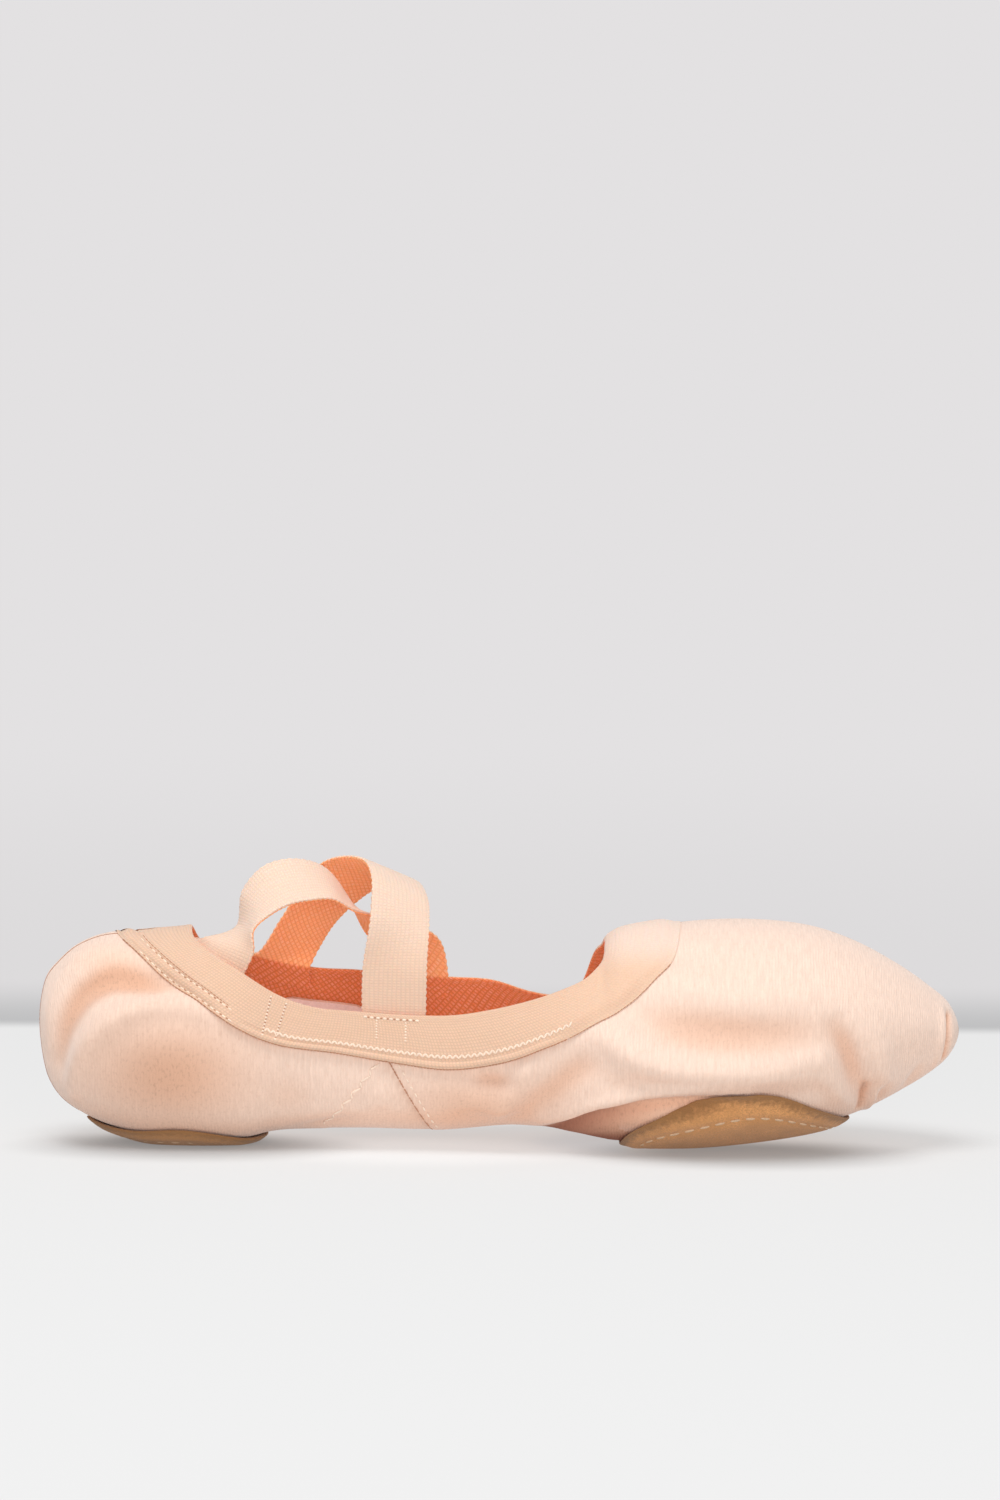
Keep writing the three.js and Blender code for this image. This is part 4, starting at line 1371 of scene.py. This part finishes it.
# The dark marks between stitches are painted shadow in the needle holes.
HOLE_MARK = 0.21
STITCH_FILL = 0.62
SOLE_FILL = 0.68
UNBROKEN = 1.0
OVERLAPPED = 1.05

# Rows on the collar: first and last station and pitch, and shares of the way from hem to top edge.
HEM_ZIGZAG = (57.0, 133.0, 0.75)
HEM_ZIGZAG_SHARES = (0.19, 0.27)
HEEL_ROWS = (25.5, 51.0, 1.5)
HEEL_ROW_SHARES = (0.05, 0.245)
TACK_HALF_WIDTH = 7.5
TACK_PITCH = 1.6
TACK_SHARE = 0.9
TACK_COLUMNS = (-4.2, 3.0)
TACK_COLUMN_SHARES = (0.46, 0.88, 8)
JOIN_COLUMNS = ((56.4, 58.6), (59.6, 62.4))
JOIN_SHARES = (0.08, 0.95, 13)
HOLE_GAPS = (0.3, 1.2)

# Dark seam lines on the collar, those along its hem partly a seam's dark line and partly painted shade
# under its roll: stations, share, depth below the elastic's face, half width.
COLLAR_SEAMS = (
    (21.0, 132.0, -0.01, 0.08, 0.2),
    (132.0, 157.0, -0.01, 0.08, 0.14),
    (25.0, 49.0, 0.29, 0.05, 0.16),
)
COLLAR_SEAM_PITCH = 0.8

# The gusset's rows: foot of the edge, shift from it, stitches, zigzag, share of a step filled.
GUSSET_ROWS = (
    (GUSSET_REAR_FOOT, -0.8, 13, 0.7, UNBROKEN),
    (GUSSET_FRONT_FOOT, 2.0, 11, 0.0, 0.6),
)
GUSSET_ROW_ENDS = (0.06, 0.66)
GUSSET_SEAM_ENDS = (0.02, 0.72, 30)
GUSSET_THREAD_LIFT = 0.1

# The back seam: square roots of its first and last station, its steps, and where it ends below.
BACK_SEAM_ROOTS = (0.05, 4.42, 180)
BACK_SEAM_LOW_END = 10


def alternate(first, second, count):
    return np.where(np.arange(count) % 2 == 0, first, second)


class SHOE_OT_stitches(bpy.types.Operator):
    """Build the threads of the collar, straps, gusset and sole patches"""
    bl_idname = "shoe.stitches"
    bl_label = "Stitches"

    def execute(self, context):
        sizes, colours = context.scene.shoe_sizes, context.scene.shoe_colours
        self.collar_wall = sizes.elastic_wall / MM
        self.suede_wall = sizes.suede_wall / MM
        thread = thread_material("thread", colours.thread)
        sole_thread = thread_material("sole thread", colours.sole_thread)
        # Painted shadow in the needle holes, in the seam colour.
        hole_shadows = thread_material("hole_shadows", colours.seam)
        seam = thread_material("seam", colours.seam)
        collar, gusset, seams = [], [], self.back_seam()
        for side in (NEAR, FAR):
            collar += self.hem_zigzag(side) + self.heel_rows(side)
            collar += self.strap_bases(side) + self.joins(side)
            gusset += self.gusset_rows(side)
            seams += self.collar_seams(side) + self.gusset_seam(side)
        soles = self.patch_row(BALL_PATCH) + self.patch_row(HEEL_PATCH)
        self.build("collar_stitches", collar, thread, "elastic")
        self.build("stitch_hole_shadows", self.gaps_after(collar), hole_shadows, "elastic")
        self.build("gusset_stitches", gusset, thread, "canvas")
        self.build("sole_stitches", soles, sole_thread, "suede")
        self.build("seam_lines", seams, seam, "canvas")
        return {"FINISHED"}

    def build(self, name, stitches, material, slot):
        """One mesh of stitches, each from its two ends, its face's normal and its half width."""
        obj, shape = new_sphere(name, STITCH_SEGMENTS, STITCH_RINGS)
        faces = [list(face.vertices) for face in obj.data.polygons]
        starts, ends, normals, thick = (np.array(column) for column in zip(*stitches))
        normals = unit(normals)
        thick = thick[:, None]
        along = (ends - starts) / 2
        across = unit(np.cross(normals, along)) * thick
        up = normals * thick * STITCH_HEIGHT
        middle = (starts + ends) / 2
        frames = np.stack([along, across, up], axis=1)
        points = np.einsum("vk,nkc->nvc", shape[:, [2, 0, 1]], frames) + middle[:, None]
        count = len(shape)
        all_faces = [[i + n * count for i in face] for n in range(len(stitches)) for face in faces]
        obj.data.clear_geometry()
        obj.data.from_pydata((points * MM).reshape(-1, 3).tolist(), [], all_faces)
        obj.data.materials.append(material)
        close_seams(obj)
        finish_piece(obj)

    def on_collar(self, station, share, side):
        """Places on the collar's outer face, by station and by share from hem to top edge."""
        share = np.broadcast_to(share, station.shape)
        height = [np.interp(s, *collar_line(h, side)) for s, h in zip(station, share)]
        row, turn = under_collar(station, np.array(height), side)[:2]
        base = skin(row, turn)
        lift = (LAYER_GAP + self.collar_wall) * hem_thinning(share, base) + collar_profile(share, base)
        return raised(row, turn, lift + collar_relief(share, base))

    def on_canvas(self, row, turn):
        return raised(row, turn, relief(skin(row, turn)))

    def row_on_collar(self, station, share, side, half_width, fill=STITCH_FILL):
        return self.dashes(*self.on_collar(station, share, side), half_width, fill)

    def dashes(self, points, normals, half_width, fill):
        """A stitch in each step of a line, shorter than the step by the gap after it."""
        made = []
        for start, end, normal in zip(points, points[1:], normals):
            made.append((start, start + (end - start) * fill, normal, half_width))
        return made

    def hem_zigzag(self, side):
        station = np.arange(*HEM_ZIGZAG)
        share = alternate(*HEM_ZIGZAG_SHARES, len(station))
        return self.row_on_collar(station, share, side, HEM_THREAD, UNBROKEN)

    def heel_rows(self, side):
        made = []
        for share in HEEL_ROW_SHARES:
            made += self.row_on_collar(np.arange(*HEEL_ROWS), share, side, HEEL_THREAD)
        return made

    def strap_bases(self, side):
        """The bar tacks over a strap's end: a row along the collar's edge and two columns."""
        base = FRONT_STRAP[0] if side < 0 else REAR_STRAP[1]
        station = np.arange(base - TACK_HALF_WIDTH, base + TACK_HALF_WIDTH, TACK_PITCH)
        made = self.row_on_collar(station, TACK_SHARE, side, TACK_THREAD)
        for column in TACK_COLUMNS:
            made += self.column(base + column, base + column, side, *TACK_COLUMN_SHARES)
        return made

    def joins(self, side):
        """The stitched columns where the ends of the collar's elastic meet."""
        made = []
        for foot, head in JOIN_COLUMNS:
            made += self.column(foot, head, side, *JOIN_SHARES)
        return made

    def column(self, foot, head, side, low, high, count):
        station = np.linspace(foot, head, count)
        return self.row_on_collar(station, np.linspace(low, high, count), side, TACK_THREAD)

    def gaps_after(self, stitches):
        """A short dark mark between each stitch and the next one of its row, painted as the shadow in the
        needle hole.
        """
        made = []
        for first, second in zip(stitches, stitches[1:]):
            if HOLE_GAPS[0] < np.linalg.norm(second[0] - first[1]) < HOLE_GAPS[1]:
                made.append((first[1], second[0], first[2], HOLE_MARK))
        return made

    def gusset_rows(self, side):
        made = []
        for foot, shift, count, zigzag, fill in GUSSET_ROWS:
            station, height = gusset_line(foot, np.linspace(*GUSSET_ROW_ENDS, count))
            station = station + shift + zigzag * alternate(1, -1, count)
            points, normals = self.on_canvas(*wall_place(station, height, side))
            made += self.dashes(points + normals * GUSSET_THREAD_LIFT, normals, GUSSET_THREAD, fill)
        return made

    def gusset_seam(self, side):
        station, height = gusset_line(GUSSET_FRONT_FOOT, np.linspace(*GUSSET_SEAM_ENDS))
        points, normals = self.on_canvas(*wall_place(station, height, side))
        return self.dashes(points - normals * GUSSET_THREAD_LIFT, normals, SEAM_THREAD, OVERLAPPED)

    def back_seam(self):
        """Down the heel, a little to the near side of its middle, with closer steps at the back."""
        station = np.linspace(*BACK_SEAM_ROOTS) ** 2
        station = station[half_width_at(station) > BACK_SEAM_ASIDE]
        aside = np.full(len(station), -BACK_SEAM_ASIDE)
        low = station < BACK_SEAM_LOW_END
        upper = sole_place(station, aside, on_top=True)
        lower = sole_place(station[low], aside[low])
        row, turn = (np.concatenate([down[::-1], under]) for down, under in zip(upper, lower))
        return self.dashes(*self.on_canvas(row, turn), SEAM_THREAD, OVERLAPPED)

    def collar_seams(self, side):
        made = []
        # The dark lines along the hem are partly painted shade under its roll.
        for first, last, share, depth, half_width in COLLAR_SEAMS:
            points, normals = self.on_collar(np.arange(first, last, COLLAR_SEAM_PITCH), share, side)
            made += self.dashes(points - normals * depth, normals, half_width, OVERLAPPED)
        return made

    def patch_row(self, patch):
        """Stitches round a sole patch, sunk deeper where it stands on the floor."""
        angle = np.linspace(0, 2 * math.pi, OUTLINE_SAMPLES + 1)
        outline = patch_outline(patch, PATCH_STITCH_INSET, angle)
        run = run_length(np.stack(outline, axis=1))
        even = np.linspace(0, run[-1], int(run[-1] / PATCH_STITCH_PITCH) + 1)
        row, turn = sole_place(*(np.interp(even, run, places) for places in outline))
        base = skin(row, turn)
        depth = 0.25 + 0.3 * smoothstep(3.0, 2.0, base[:, 2])
        lift = LAYER_GAP + self.suede_wall - depth + relief(base)
        return self.dashes(*raised(row, turn, lift), SOLE_THREAD, SOLE_FILL)


# The stage: places and sizes in metres, powers in watts, the lens in millimetres, angles in degrees.
FLOOR_SIZE = 80
FLOOR_LEVEL = -0.0001
LIGHT_TARGET = (0, 0, 0.03)
LIGHTS = (
    ("key light", (-0.2, -0.42, 1.55), 0.9, 16.5),
    ("front light", (0.15, -1.5, 0.1), 0.8, 11.0),
)
SKY_GREY = (0.5, 0.5, 0.5, 1.0)
SKY_RISE = (0.08, 0.2)
CAMERA_PLACE = (-0.0004, -1.4854, 0.2088)
CAMERA_LENS = 143.2
CAMERA_SENSOR = 36
CAMERA_TILT = 85.752
CAMERA_ROLL = 0.4


class SHOE_OT_stage(bpy.types.Operator):
    """Build the floor, the soft lights and the camera"""
    bl_idname = "shoe.stage"
    bl_label = "Stage"

    def execute(self, context):
        scene, colours = context.scene, context.scene.shoe_colours
        bpy.ops.object.select_all(action="DESELECT")
        bpy.ops.mesh.primitive_plane_add(size=FLOOR_SIZE, location=(0, 0, FLOOR_LEVEL))
        floor = bpy.context.object
        floor.name = "floor"
        floor.data.materials.append(floor_material(colours))
        world = bpy.data.worlds.new("soft sky")
        world.use_nodes = True
        self.sky(world.node_tree, colours)
        scene.world = world
        for light in LIGHTS:
            self.area(*light)
        self.camera(scene)
        scene.view_settings.view_transform = "Standard"
        return {"FINISHED"}

    def sky(self, tree, colours):
        """A dim dome with the backdrop's tone along the horizon."""
        place = tree.nodes.new("ShaderNodeTexCoord")
        split = tree.nodes.new("ShaderNodeSeparateXYZ")
        rise = tree.nodes.new("ShaderNodeMapRange")
        rise.inputs[1].default_value, rise.inputs[2].default_value = SKY_RISE
        mix = tree.nodes.new("ShaderNodeMix")
        mix.data_type = "RGBA"
        mix.inputs[6].default_value = tone(colours.wall)
        mix.inputs[7].default_value = SKY_GREY
        tree.links.new(place.outputs["Generated"], split.inputs[0])
        tree.links.new(split.outputs[2], rise.inputs[0])
        tree.links.new(rise.outputs[0], mix.inputs[0])
        tree.links.new(mix.outputs[2], tree.nodes["Background"].inputs[0])

    def area(self, name, place, size, power):
        """A square light that faces the shoe."""
        bpy.ops.object.light_add(type="AREA", location=place)
        light = bpy.context.object
        light.name = name
        light.data.size = size
        light.data.energy = power
        away = [a - b for a, b in zip(place, LIGHT_TARGET)]
        flat = math.hypot(away[0], away[1])
        light.rotation_euler = (math.atan2(flat, away[2]), 0, math.atan2(away[0], -away[1]))

    def camera(self, scene):
        bpy.ops.object.camera_add(location=CAMERA_PLACE)
        camera = bpy.context.object
        camera.data.lens = CAMERA_LENS
        camera.data.sensor_width = CAMERA_SENSOR
        tilt = Matrix.Rotation(math.radians(CAMERA_TILT), 4, "X")
        turn = tilt @ Matrix.Rotation(math.radians(CAMERA_ROLL), 4, "Z")
        camera.rotation_euler = turn.to_euler()
        scene.camera = camera


class SHOE_PT_panel(bpy.types.Panel):
    """Sizes, colours and the operators that build the shoe"""
    bl_idname = "SHOE_PT_panel"
    bl_label = "Ballet shoe"
    bl_space_type = "VIEW_3D"
    bl_region_type = "UI"
    bl_category = "Shoe"

    def draw(self, context):
        for group in (context.scene.shoe_sizes, context.scene.shoe_colours):
            for name in group.__annotations__:
                self.layout.prop(group, name)
        for operator in OPERATORS:
            self.layout.operator(operator.bl_idname)


OPERATORS = (SHOE_OT_upper, SHOE_OT_collar, SHOE_OT_straps, SHOE_OT_soles, SHOE_OT_stitches, SHOE_OT_stage)
CLASSES = (ShoeSizes, ShoeColours) + OPERATORS + (SHOE_PT_panel,)


def register():
    for item in CLASSES:
        bpy.utils.register_class(item)
    bpy.types.Scene.shoe_sizes = bpy.props.PointerProperty(type=ShoeSizes)
    bpy.types.Scene.shoe_colours = bpy.props.PointerProperty(type=ShoeColours)


def unregister():
    del bpy.types.Scene.shoe_colours
    del bpy.types.Scene.shoe_sizes
    for item in reversed(CLASSES):
        bpy.utils.unregister_class(item)


def main():
    register()
    bpy.ops.shoe.upper()
    bpy.ops.shoe.collar()
    bpy.ops.shoe.straps()
    bpy.ops.shoe.soles()
    bpy.ops.shoe.stitches()
    bpy.ops.shoe.stage()


if __name__ == "__main__":
    main()
